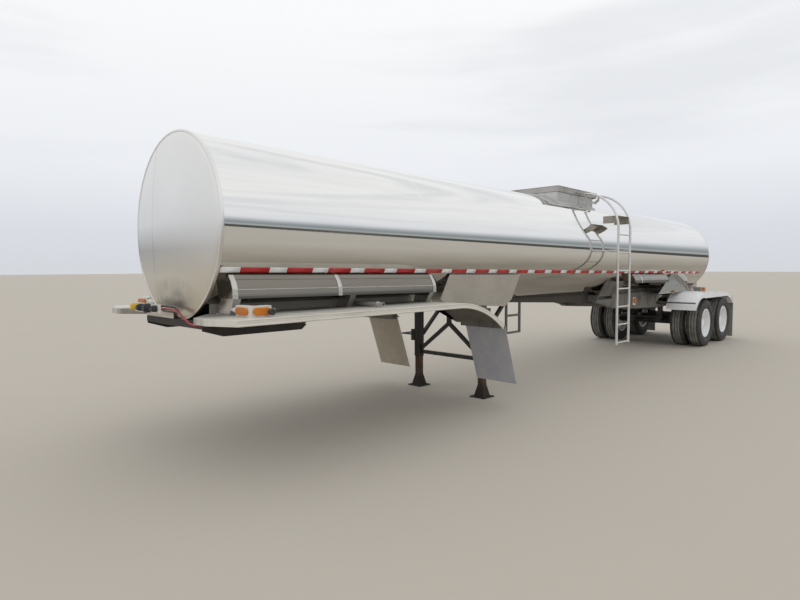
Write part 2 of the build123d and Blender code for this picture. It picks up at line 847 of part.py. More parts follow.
with BuildPart() as landing_feet:
    for side in (1, -1):
        spot = (along(leg_station), side * leg_half_track)
        with BuildSketch(Plane.XY.offset(foot_flare_top)):
            with Locations(spot):
                Rectangle(leg_inner, leg_inner)
        extrude(amount=leg_sleeve_bottom - foot_flare_top)
        with BuildSketch(Plane.XY):
            with Locations(spot):
                Rectangle(foot_side, foot_side)
        extrude(amount=foot_thickness)
        with BuildSketch(Plane.XY.offset(foot_thickness)):
            with Locations(spot):
                Rectangle(foot_side * 0.66, foot_side * 0.66)
        with BuildSketch(Plane.XY.offset(foot_flare_top)):
            with Locations(spot):
                Rectangle(leg_inner, leg_inner)
        loft()

finish(landing_feet.part, "landing_feet")

brace_half = 22.0
brace_depth = 45.0
brace_height = leg_sleeve_bottom + 70.0
brace_apex = leg_top - 255.0
brace_bolt = leg_sleeve_bottom + 305.0
beam_bottom = leg_top + 10.0
beam_stations = (leg_station + 476, leg_station + 551)

with BuildPart() as landing_braces:
    back_start = leg_station - brace_half
    across = (back_start, back_start + 2 * brace_half)
    box(across, (-leg_faces[0], leg_faces[0]), (brace_height - 25, brace_height + 25))
    for side in (1, -1):
        cross_profile(
            [
                (side * leg_faces[0], brace_height + 20),
                (side * leg_faces[0], brace_height + 75),
                (0, brace_apex + 50),
                (0, brace_apex - 10),
            ],
            back_start,
            2 * brace_half,
        )
    box(across, (-28, 28), (brace_apex, leg_top))
    leg_rear = leg_station + leg_outer / 2
    for y in (rail_outer, -rail_outer - brace_depth):
        side_profile(
            [
                (leg_rear, brace_bolt),
                (leg_rear, brace_bolt + 60),
                (beam_stations[0] + 6, beam_bottom),
                (beam_stations[1] - 6, beam_bottom),
            ],
            y,
            brace_depth,
        )

finish(landing_braces.part, "landing_braces")

crank_y = leg_half_track + 345.0
gear_width = 60.0

with BuildPart() as landing_crank:
    gear_outer = -leg_faces[1] - gear_width
    gear_heights = (brace_bolt - 80, brace_bolt + 80)
    box((leg_station - 55, leg_station + 55), (gear_outer, -leg_faces[1]), gear_heights)
    rod(leg_station, (-crank_y, gear_outer), brace_bolt, 12)
    with BuildSketch(Plane(origin=(along(leg_station), -crank_y + 12, brace_bolt), z_dir=(-1, 0, 0))):
        Circle(10)
    extrude(amount=190)

finish(landing_crank.part, "landing_crank")

# Front mud flaps behind the deck's tail
flap_thickness = 8.0
flap_width = 590.0
flap_inset = 29.0
flap_top = (deck_tail_station + 52, deck_tail_height - 14.5)
flap_bottom = (deck_tail_station + 310, 280.0)

with BuildPart() as front_mud_flaps:
    for y in (half_width - flap_inset - flap_width, flap_inset - half_width):
        side_profile(
            [
                flap_top,
                (flap_top[0] + flap_thickness, flap_top[1]),
                flap_bottom,
                (flap_bottom[0] - flap_thickness, flap_bottom[1]),
            ],
            y,
            flap_width,
        )

finish(front_mud_flaps.part, "front_mud_flaps")

# Frame rails: a shallow pair behind the landing gear and a deep, wider pair at the tandem
bolster_half = 40.0
mid_rail_inner = mid_rail_outer - mid_rail_width
mid_rail_stations = (leg_station + bolster_half, rail_front + 320.0)
mid_rail_bottoms = (leg_top + 65.0, rail_bottom + 195.0)
slot_stations = (rail_front + 35.0, rail_front + 590.0)
slot_heights = (rail_top - 75.0, rail_top - 18.0)
rail_web = 15.0
tank_middle = tank_front_height - tank_radius / 2


def mid_rail_bottom(station):
    """Height of the shallow rails' underside at a station."""
    share = (station - mid_rail_stations[0]) / (mid_rail_stations[1] - mid_rail_stations[0])
    return mid_rail_bottoms[0] + share * (mid_rail_bottoms[1] - mid_rail_bottoms[0])


with BuildPart() as frame_rails:
    for y in (mid_rail_inner, -mid_rail_outer):
        side_profile(
            [
                (mid_rail_stations[0], mid_rail_bottoms[0]),
                (mid_rail_stations[1], mid_rail_bottoms[1]),
                (mid_rail_stations[1], tank_middle),
                (mid_rail_stations[0], tank_middle),
            ],
            y,
            mid_rail_width,
        )
    for y in (rail_inner, -rail_outer):
        side_profile(
            [
                (rail_front - 25, rail_bottom + 225),
                (rail_front + 470, rail_bottom + 130),
                (rail_front + 580, rail_bottom + 90),
                (rail_front + 1720, rail_bottom + 25),
                (rail_front + 2720, rail_bottom),
                (rail_end, rail_bottom),
                (rail_end, rail_top),
                (rail_front + 20, rail_top),
            ],
            y,
            rail_width,
        )
        side_profile(
            [
                (slot_stations[0] - 20, slot_heights[0]),
                (slot_stations[1], slot_heights[0]),
                (slot_stations[1], slot_heights[1]),
                (slot_stations[0], slot_heights[1]),
            ],
            y - 10,
            rail_width + 20,
            Mode.SUBTRACT,
        )
    # Webs on the deep rails carry the tank
    web_stations = (slot_stations[1] + 30, tank_length - 40)
    both_sides(web_stations, (rail_inner, rail_inner + rail_web), (rail_top, tank_middle))
    tank_space()

finish(frame_rails.part, "frame_rails")

# Cross-members between the rails, and the bolster over the landing gear, up to the tank
member_width = 80.0
bolster_side = panel_low[0] - panel_sheet - 8.0

with BuildPart() as frame_crossmembers:
    for station in (front_axle - 3095, front_axle - 1695, front_axle - 615):
        box((station, station + member_width), (-rail_inner, rail_inner), (rail_bottom + 110, tank_middle))
    box((rail_end - member_width, rail_end), (-rail_inner, rail_inner), (rail_bottom, rail_bottom + 90))
    bolster = (leg_station - bolster_half, leg_station + bolster_half)
    box(bolster, (-bolster_side, bolster_side), (leg_top, tank_middle))
    box(beam_stations, (-leg_half_track, leg_half_track), (beam_bottom, tank_middle))
    box((rail_front - 10, rail_front + 10), (-rail_inner, rail_inner), (rail_bottom + 230, rail_top))
    add(frame_rails.part, mode=Mode.SUBTRACT)
    tank_space()

finish(frame_crossmembers.part, "frame_crossmembers")

# Step frame hanging from the left shallow rail behind the landing gear
step_bar = 30.0
step_posts = (leg_station + 916, leg_station + 1266)
step_levels = (725.0, 978.0)

with BuildPart() as step_frame:
    step_widths = (mid_rail_outer - step_bar, mid_rail_outer)
    for station in step_posts:
        top = mid_rail_bottom(station) + 20
        box((station, station + step_bar), step_widths, (step_levels[0], top))
    for level in step_levels:
        box((step_posts[0], step_posts[1] + step_bar), step_widths, (level, level + step_bar))
    add(frame_rails.part, mode=Mode.SUBTRACT)

finish(step_frame.part, "step_frame")

# Panels of the rear frame: a three-cornered one beside the tandem and a lower one ahead of it
gusset_sheet = 6.0
gusset_rear = front_axle - 695.0  # rear end of the panel's top edge
gusset_top = (tape_y - 16, axis_height(gusset_rear) - tape_drop + 1)
gusset_foot = (rail_outer + 280, rail_bottom + 310)
gusset_flange = (75.0, 12.0)
shelf_stations = (gusset_rear - 950, gusset_rear - 50)
fore_panel = (rail_front + 20.0, rear_skirt[0] - 10.0)

with BuildPart() as rear_saddles:
    # Lower panel from the tank down to the rail's upper edge, with a flange on its front edge
    fore_height = rail_top + 3 - axis_height(rail_front)
    fore_high = (tape_y - 98, -tape_drop - 102)
    fore_low = (rail_outer, fore_height)
    for start, end, out in ((*fore_panel, 0.0), (fore_panel[0] - 6, fore_panel[0] + 8, 16.0)):
        outer_edge = [(fore_high[0] + out, fore_high[1]), (fore_low[0] + out, fore_low[1])]
        inner_edge = [(fore_low[0] - 6, fore_low[1]), (fore_high[0] - 8, fore_high[1])]
        tank_profile([*outer_edge, *inner_edge], start, end - start)
    slope = hypot(gusset_foot[0] - gusset_top[0], gusset_top[1] - gusset_foot[1])
    lean_y = (gusset_foot[0] - gusset_top[0]) / slope
    lean_z = (gusset_top[1] - gusset_foot[1]) / slope
    for side in (1, -1):
        panel = Plane(
            origin=(along(gusset_rear), side * gusset_top[0], gusset_top[1]),
            x_dir=(1, 0, 0),
            z_dir=(0, side * lean_z, lean_y),
        )
        foot = side * slope
        with BuildSketch(panel):
            with BuildLine():
                Polyline((0, 0), (150, 0), (950, foot), (-990, foot), close=True)
            make_face()
        extrude(amount=gusset_sheet)
        with BuildSketch(panel):
            with BuildLine():
                Polyline((gusset_flange[1], 0), (0, 0), (-990, foot), (gusset_flange[1] - 990, foot), close=True)
            make_face()
        extrude(amount=gusset_flange[0])
    foot_z = gusset_foot[1]
    shelf_outer = gusset_foot[0] + gusset_sheet
    both_sides(shelf_stations, (rail_outer, shelf_outer), (foot_z - gusset_sheet, foot_z + gusset_sheet / 2))
    for station in (gusset_rear - 150, gusset_rear - 20):
        for side in (1, -1):
            corners = [(rail_outer, foot_z), gusset_foot, gusset_top, (600, gusset_top[1])]
            cross_profile([(side * y, z) for y, z in corners], station, 10)
    # Bright plates on the rails: behind the slot, and ahead of the tandem
    slot_plate = (rail_inner - 8, rail_inner)
    both_sides((rail_front + 12, rail_front + 615), slot_plate, (slot_heights[0] - 10, rail_top - 5))
    tandem_plate = (rail_outer, rail_outer + 6)
    both_sides((front_axle - 995, front_axle - 395), tandem_plate, (rail_bottom + 60, rail_top - 45))
    add(frame_rails.part, mode=Mode.SUBTRACT)
    add(tank_skirts.part, mode=Mode.SUBTRACT)
    tank_space()

finish(rear_saddles.part, "rear_saddles")

# Suspension: hangers under the rails, leaf springs between them
spring_y = (rail_outer - 83, rail_outer - 7)
spring_thickness = 46.0
spring_end_height = axle_height + 220.0
spring_sag = 75.0
hanger_bottom = axle_height + 100.0
hanger_table = (
    (front_axle - 670, front_axle - 580),
    (front_axle + 580, front_axle + 670),
    (rear_axle + 580, rear_axle + 670),
)

with BuildPart() as spring_hangers:
    for start, end in hanger_table:
        both_sides((start, end), spring_y, (hanger_bottom, rail_bottom))
    rod(front_axle - 690, (-spring_y[1], spring_y[1]), hanger_bottom + 30, 27)

finish(spring_hangers.part, "spring_hangers")

with BuildPart() as leaf_springs:
    for (_, start), (end, _) in zip(hanger_table[:2], hanger_table[1:]):
        middle = (start + end) / 2
        low = spring_end_height - spring_sag
        corners = side_points(
            [
                (start, spring_end_height),
                (middle, low),
                (end, spring_end_height),
                (end, spring_end_height + spring_thickness),
                (middle, low + spring_thickness),
                (start, spring_end_height + spring_thickness),
            ]
        )
        for y in (spring_y[0], -spring_y[1]):
            with BuildSketch(side_plane(y)):
                with BuildLine():
                    ThreePointArc(corners[0], corners[1], corners[2])
                    Line(corners[2], corners[3])
                    ThreePointArc(corners[3], corners[4], corners[5])
                    Line(corners[5], corners[0])
                make_face()
            extrude(amount=spring_y[1] - spring_y[0])

finish(leaf_springs.part, "leaf_springs")

# Axles with spring seats, the brake chambers ahead of them and the air reservoir
drum_start = hub_y - 220.0
axle_tube_end = drum_start - 20.0
spindle_end = hub_y + 170.0

with BuildPart() as axles:
    for station in axle_stations:
        rod(station, (-axle_tube_end, axle_tube_end), axle_height, axle_tube_radius)
        both_sides((station - 65, station + 65), spring_y, (axle_height, spring_end_height - 40))
        rod(station, (-spindle_end, spindle_end), axle_height, spindle_radius)
    add(leaf_springs.part, mode=Mode.SUBTRACT)

finish(axles.part, "axles")

with BuildPart() as air_brakes:
    for station in axle_stations:
        for y in (-280.0, 280.0):
            with BuildSketch(Plane(origin=(along(station - 170), y, axle_height + 60), z_dir=(1, 0, 0))):
                Circle(80)
            extrude(amount=150)
            box((station - 175, station), (y - 12, y + 12), (axle_height, axle_height + 110))
    for station in axle_stations:
        rod(station, (-axle_tube_end, axle_tube_end), axle_height, axle_tube_radius + seat, Mode.SUBTRACT)
    rod(front_axle - 1275, (-rail_inner, rail_inner), rail_bottom + 130, 110)

finish(air_brakes.part, "air_brakes")

# Tandem fenders: a curved sheet with a side valance, and the tubes that carry them
fender_sides = (inner_tyre_y - 125, half_width - 7)
fender_sheet = 4.0
fender_front = (front_axle - 767, axle_height + 310)
fender_shoulder = (front_axle - 187, axle_height + 665)
fender_hip = (rear_axle + 13, axle_height + 620)
fender_rear = (rear_axle + 633, axle_height + 350)
valance_depth = 130.0


def bend_middle(edge, crest, scale):
    """Middle of the arc that leaves the crest level and ends at the edge."""
    run = abs(crest[0] - edge[0])
    fall = crest[1] - edge[1]
    radius = (run**2 + fall**2) / (2 * fall)
    half = atan2(run, radius - fall) / 2
    return (crest[0] + scale * radius * sin(half), crest[1] - radius * (1 - cos(half)))


def fender_outline(depths):
    """Outline between the fender's line and the same line lowered by depths."""
    line = [
        fender_front,
        bend_middle(fender_front, fender_shoulder, -1),
        fender_shoulder,
        fender_hip,
        bend_middle(fender_rear, fender_hip, 1),
        fender_rear,
    ]
    lowered = [(station, height - depth) for (station, height), depth in zip(line, depths)]
    top = side_points(line)
    under = side_points(lowered)
    with BuildLine() as outline:
        ThreePointArc(top[0], top[1], top[2])
        Line(top[2], top[3])
        ThreePointArc(top[3], top[4], top[5])
        Line(top[5], under[5])
        ThreePointArc(under[5], under[4], under[3])
        Line(under[3], under[2])
        ThreePointArc(under[2], under[1], under[0])
        Line(under[0], top[0])
    return outline.line


with BuildPart() as tandem_fenders:
    for y in (fender_sides[0], -fender_sides[1]):
        with BuildSketch(side_plane(y)):
            add(fender_outline((6, 5, fender_sheet, fender_sheet, 5, 6)))
            make_face()
        extrude(amount=fender_sides[1] - fender_sides[0])
    for y in (fender_sides[1] - fender_sheet, -fender_sides[1]):
        with BuildSketch(side_plane(y)):
            add(fender_outline((6, 70, valance_depth, valance_depth - 40, 60, 6)))
            make_face()
        extrude(amount=fender_sheet)

finish(tandem_fenders.part, "tandem_fenders")

# Lamp housings on the deck, rail, tandem fender and rear bracket, and the amber lenses
lamp_front = 305.0 - front_reach
lamp_height = 89.0
fender_lamp = front_axle + 55.0
rail_lamp = front_axle - 2145.0
rear_bracket = rail_end - 15.0

with BuildPart() as lamp_housings:
    deck_lamp = (deck_top, deck_top + lamp_height)
    both_sides((lamp_front, lamp_front + 60), (half_width - 339, half_width - 114), deck_lamp)
    both_sides((lamp_front, lamp_front + 185), (half_width - 174, half_width - 114), deck_lamp)
    fender_plate = (axle_height + 640, axle_height + 765)
    both_sides((fender_lamp - 6, fender_lamp), (half_width - 169, half_width - 69), fender_plate)
    rail_plate = (rail_bottom + 100, rail_bottom + 250)
    both_sides((rail_lamp - 60, rail_lamp + 60), (rail_outer, rail_outer + 8), rail_plate)
    tail_box = (rail_bottom - 2, rail_bottom + 175)
    both_sides((rear_bracket - 45, rear_bracket), (half_width - 144, half_width - 24), tail_box)
    add(tandem_fenders.part, mode=Mode.SUBTRACT)

finish(lamp_housings.part, "lamp_housings")

with BuildPart() as lamp_lenses:
    for side in (1, -1):
        front_lens = (along(lamp_front), side * (half_width - 234), deck_top + 46)
        with BuildSketch(Plane(origin=front_lens, x_dir=(0, 1, 0), z_dir=(1, 0, 0))):
            RectangleRounded(170, 60, 28)
        extrude(amount=20)
        side_lens = (along(lamp_front + 93), side * (half_width - 114), deck_top + 46)
        with BuildSketch(Plane(origin=side_lens, x_dir=(1, 0, 0), z_dir=(0, side, 0))):
            RectangleRounded(150, 60, 28)
        extrude(amount=20)
        fender_lens = (along(fender_lamp - 6), side * (half_width - 119), axle_height + 722)
        with BuildSketch(Plane(origin=fender_lens, z_dir=(1, 0, 0))):
            Circle(36)
        extrude(amount=24)
        rail_lens = (along(rail_lamp), side * (rail_outer + 8), rail_bottom + 185)
        with BuildSketch(Plane(origin=rail_lens, z_dir=(0, side, 0))):
            Circle(50)
        extrude(amount=25)

finish(lamp_lenses.part, "lamp_lenses")

# Station and height over the axle: the tubes cross from the rail to the valance
tube_table = ((front_axle - 337, 595.0), (front_axle + 625, 580.0), (rear_axle + 333, 520.0))
tube_radius = 19.0
valance_inner = fender_sides[1] - fender_sheet
flap_hanger = (
    (deck_tail_station - 40, deck_tail_height - 35.5),
    (flap_top[0], deck_tail_height - 35.5),
    (flap_top[0], flap_top[1] + 2),
    (deck_tail_station, deck_tail_height - 0.5),
    (deck_tail_station - 40, deck_tail_height + 29.5),
)

with BuildPart() as fender_tubes:
    for station, over in tube_table:
        for y in (rail_outer, -valance_inner):
            rod(station, (y, y + valance_inner - rail_outer), axle_height + over, tube_radius)
    # Cross bar ahead of each fender
    bar_stations = (front_axle - 817, front_axle - 793)
    both_sides(bar_stations, (tandem_plate[1], fender_sides[1]), (axle_height + 440, axle_height + 470))
    arm_low = rail_bottom - 60
    both_sides((rear_bracket - 37, rear_bracket), (rail_outer, half_width - 24), (arm_low, rail_bottom - 2))
    both_sides((rear_bracket - 85, rear_bracket), (rail_outer, rail_outer + 10), (arm_low, rail_bottom + 100))
    for y in (half_width - flap_inset - flap_width, flap_inset - half_width):
        side_profile(flap_hanger, y, flap_width)
    add(front_deck.part, mode=Mode.SUBTRACT)
    add(tandem_fenders.part, mode=Mode.SUBTRACT)

finish(fender_tubes.part, "fender_tubes")

with BuildPart() as rear_mud_flaps:
    rear_flap_widths = (half_width - 619, half_width - 24)
    both_sides((rear_bracket, rear_bracket + flap_thickness), rear_flap_widths, (40, rail_bottom - 20))

finish(rear_mud_flaps.part, "rear_mud_flaps")

with BuildPart() as tail_lenses:
    tail_heights = (rail_bottom + 8, rail_bottom + 165)
    both_sides((rear_bracket, rear_bracket + 12), (half_width - 134, half_width - 34), tail_heights)

finish(tail_lenses.part, "tail_lenses")

# Rear guard below the frame
guard_height = (460.0, 560.0)
guard_half = half_width - 219.0

with BuildPart() as rear_guard:
    box((guard_front, rear_reach), (-guard_half, guard_half), guard_height)
    both_sides((rear_bracket, guard_front), spring_y, (guard_height[0], rail_bottom))

finish(rear_guard.part, "rear_guard")

# Valve cabinet behind the rear head, with the outlet valve in it and a lift-up door
cabinet_stations = (cabinet_front, cabinet_rear)
cabinet_bottom = rail_bottom + 95.0
cabinet_heights = (cabinet_bottom, cabinet_bottom + cabinet_height)
cabinet_sheet = 4.0
outlet_radius = 38.1
outlet_height = axis_height(tank_length) - tank_radius + 107
outlet_end = cabinet_rear - 170.0
ferrule_radius = 45.5
door_thickness = 4.0
door_gap = 6.0
door_hinge_height = cabinet_heights[1] - 10.0
door_hinge_station = cabinet_rear + 14.0
door_leaf = 90.0
door_pin_radius = 4.0
door_places = (150.0 - rail_inner, rail_inner - 150.0)

with BuildPart() as valve_cabinet:
    box(cabinet_stations, (-rail_inner, rail_inner), cabinet_heights)
    with BuildSketch(cross_plane(cabinet_front + cabinet_sheet)):
        with Locations((0, sum(cabinet_heights) / 2)):
            Rectangle(2 * (rail_inner - cabinet_sheet), cabinet_height - 2 * cabinet_sheet)
    extrude(amount=600, mode=Mode.SUBTRACT)
    with BuildSketch(cross_plane(cabinet_front - 10)):
        with Locations((0, outlet_height)):
            Circle(outlet_radius + seat)
    extrude(amount=40, mode=Mode.SUBTRACT)
    # Cheeks and pins of the door hinge
    for y in door_places:
        for start in (y - door_leaf / 2 - 9, y + door_leaf / 2 + 1):
            cheek_heights = (door_hinge_height - 6, cabinet_heights[1])
            box((cabinet_rear - 2, door_hinge_station + 6), (start, start + 8), cheek_heights)
        pin_span = (y - door_leaf / 2 - 9, y + door_leaf / 2 + 9)
        rod(door_hinge_station, pin_span, door_hinge_height, door_pin_radius)

finish(valve_cabinet.part, "valve_cabinet")

with BuildPart() as cabinet_door:
    door_stations = (cabinet_rear + door_gap, cabinet_rear + door_gap + door_thickness)
    door_heights = (cabinet_heights[0] + 20, door_hinge_height - 14)
    box(door_stations, (-rail_inner + 12, rail_inner - 12), door_heights)
    for y in door_places:
        span = (y - door_leaf / 2, y + door_leaf / 2)
        rod(door_hinge_station, span, door_hinge_height, 9)
        box(door_stations, span, (door_hinge_height - 20, door_hinge_height))
        rod(door_hinge_station, span, door_hinge_height, door_pin_radius + hinge_clearance, Mode.SUBTRACT)

finish(cabinet_door.part, "cabinet_door")

# Start, width and radius of the valve's body and of the ferrule
outlet_start = tank_length + 18.0
collar_table = ((cabinet_front + 120, 60.0, 64.0), (outlet_end - 8, 8.0, ferrule_radius))

with BuildPart() as outlet_valve:
    with BuildSketch(cross_plane(outlet_start)):
        with Locations((0, outlet_height)):
            Circle(outlet_radius)
    extrude(amount=outlet_end - outlet_start)
    for start, width, radius in collar_table:
        with BuildSketch(cross_plane(start)):
            with Locations((0, outlet_height)):
                Circle(radius)
        extrude(amount=width)
    with BuildSketch(Plane.XY.offset(outlet_height)):
        with Locations((along(cabinet_front + 150), 0)):
            Circle(12)
    extrude(amount=110)
    with BuildSketch(cross_plane(outlet_end - 80)):
        with Locations((0, outlet_height)):
            Circle(outlet_radius - 1.6)
    extrude(amount=100, mode=Mode.SUBTRACT)
    add(tank_heads.part, mode=Mode.SUBTRACT)

finish(outlet_valve.part, "outlet_valve")

# Wheels: each end of an axle carries a pair of tyres on one hub
rim_wall = 9.0
disc = 14.0
hub_radius = 95.0
hub_end = hub_y + 198.0
drum_radius = 208.0
drum_sides = (drum_start, drum_start + 185.0)
disc_step = 205.0
stud_circle = 285.75
stud_count = 10
nut_radius = 19.0
bead_half = flange_half_width - 8.0


def wheel_plane(station, side):
    """Plane through a wheel's axle: its X points outward along the axle, its Y is the radius."""
    return Plane(origin=(along(station), 0, axle_height), x_dir=(0, side, 0), z_dir=(-side, 0, 0))


def ring(inner, outer, start, end):
    """Sketch the half section of a ring between two radii and two distances outward."""
    with Locations(((start + end) / 2, (inner + outer) / 2)):
        Rectangle(end - start, outer - inner)


# Half width of a tyre and the share of its depth, from the bead to the middle of the tread
tyre_outline = (
    (106.0, 0.0),
    (106.0, 0.08),
    (118.0, 0.15),
    (142.0, 0.468),
    (138.0, 0.702),
    (122.0, 0.927),
    (108.0, 0.979),
    (50.0, 1.0),
)

for corner, station, side in (
    ("front_left", front_axle, 1),
    ("front_right", front_axle, -1),
    ("rear_left", rear_axle, 1),
    ("rear_right", rear_axle, -1),
):
    wheel_axis = Axis((along(station), 0, axle_height), (0, 1, 0))
    base = rim_radius + seat
    depth = tyre_radius - 0.2 - base
    with BuildPart() as tyres:
        with BuildSketch(wheel_plane(station, side)):
            for centre in (outer_tyre_y, inner_tyre_y):
                right = [(centre + half, base + share * depth) for half, share in tyre_outline]
                left = [(centre - half, base + share * depth) for half, share in reversed(tyre_outline)]
                with BuildLine():
                    Polyline(*right, *left, close=True)
                make_face()
        revolve(axis=wheel_axis)
    finish(tyres.part, f"tyres_{corner}")

    with BuildPart() as rims:
        with BuildSketch(wheel_plane(station, side)):
            for centre in (outer_tyre_y, inner_tyre_y):
                ring(rim_radius - rim_wall, rim_radius, centre - flange_half_width, centre + flange_half_width)
                for end in (centre - flange_half_width, centre + bead_half + 1):
                    ring(rim_radius - rim_wall, flange_radius, end, end + flange_half_width - bead_half - 1)
            for sense in (1, -1):
                far = hub_y + sense * (dual_spacing / 2 - flange_half_width + disc)
                with BuildLine():
                    Polyline(
                        (hub_y, spindle_radius + 30),
                        (hub_y, disc_step),
                        (far - sense * disc, rim_radius - rim_wall / 2),
                        (far, rim_radius - rim_wall / 2),
                        (hub_y + sense * disc, disc_step),
                        (hub_y + sense * disc, spindle_radius + 30),
                        close=True,
                    )
                make_face()
            ring(spindle_radius + spindle_clearance, hub_radius, drum_sides[0], hub_end)
            ring(spindle_radius + spindle_clearance, drum_radius, drum_sides[0], drum_sides[1])
        revolve(axis=wheel_axis)
        with BuildSketch(Plane(origin=(along(station), side * hub_end, axle_height), z_dir=(0, side, 0))):
            Circle(68)
        extrude(amount=26)
        nut_plane = Plane(origin=(along(station), side * (hub_y + disc), axle_height), z_dir=(0, side, 0))
        with BuildSketch(nut_plane):
            with PolarLocations(stud_circle / 2, stud_count):
                RegularPolygon(nut_radius, 6)
        extrude(amount=26)
    finish(rims.part, f"rims_{corner}")
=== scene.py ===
"""Dresses the tank semi-trailer: polished tank, deck, running gear, lamps and its markings."""

import json
import logging
import math
from contextlib import contextmanager
from dataclasses import dataclass, field
from enum import Enum
from typing import Iterable, Iterator, Protocol, Sequence

import bmesh
import bpy
from mathutils import Matrix, Vector

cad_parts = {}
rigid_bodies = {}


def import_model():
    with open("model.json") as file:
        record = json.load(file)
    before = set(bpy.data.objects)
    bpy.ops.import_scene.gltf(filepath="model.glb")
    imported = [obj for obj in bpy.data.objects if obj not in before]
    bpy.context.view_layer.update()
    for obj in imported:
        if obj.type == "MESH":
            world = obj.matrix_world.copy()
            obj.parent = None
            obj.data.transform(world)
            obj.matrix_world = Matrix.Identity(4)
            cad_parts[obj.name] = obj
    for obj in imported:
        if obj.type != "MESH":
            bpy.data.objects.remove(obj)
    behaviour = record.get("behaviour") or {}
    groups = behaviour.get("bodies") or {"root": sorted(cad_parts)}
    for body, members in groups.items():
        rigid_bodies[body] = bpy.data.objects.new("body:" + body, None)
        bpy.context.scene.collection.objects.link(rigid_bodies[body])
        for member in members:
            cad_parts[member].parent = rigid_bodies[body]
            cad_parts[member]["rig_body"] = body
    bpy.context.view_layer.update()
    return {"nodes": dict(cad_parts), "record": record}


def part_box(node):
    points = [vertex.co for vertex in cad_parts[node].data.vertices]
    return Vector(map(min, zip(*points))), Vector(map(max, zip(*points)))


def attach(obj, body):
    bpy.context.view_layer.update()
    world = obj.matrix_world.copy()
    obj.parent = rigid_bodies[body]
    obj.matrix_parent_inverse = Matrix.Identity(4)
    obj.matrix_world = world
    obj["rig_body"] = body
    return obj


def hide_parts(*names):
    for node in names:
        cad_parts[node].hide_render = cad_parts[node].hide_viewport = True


Piece = bpy.types.Object
Mesh = bpy.types.Mesh
Material = bpy.types.Material
Socket = bpy.types.NodeSocket
Pair = tuple[float, float]
Triple = tuple[float, float, float]

ACROSS = Vector((0.0, 1.0, 0.0))
SHARP_EDGE = 32.0  # degrees, past which an edge of a node stays sharp
BEVEL_FROM = 35.0  # degrees, past which a bevel rounds an edge
NODE_MERGE = 2e-6  # metres, within which corners of a node are one
NODE_FLAT = 0.3  # degrees, within which faces of a node are one

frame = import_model()

log = logging.getLogger("trailer")
logging.basicConfig(level=logging.INFO, format="%(name)s: %(message)s")


class Side(Enum):
    """The trailer's two sides, as the sign of Y."""

    LEFT = 1
    RIGHT = -1


class Band(Enum):
    """Colours of the marking strip."""

    WHITE = "white"
    RED = "red"


def dimmed(colour: Triple, share: float) -> Triple:
    """A colour with each of its parts multiplied by a share."""
    return tuple(share * part for part in colour)


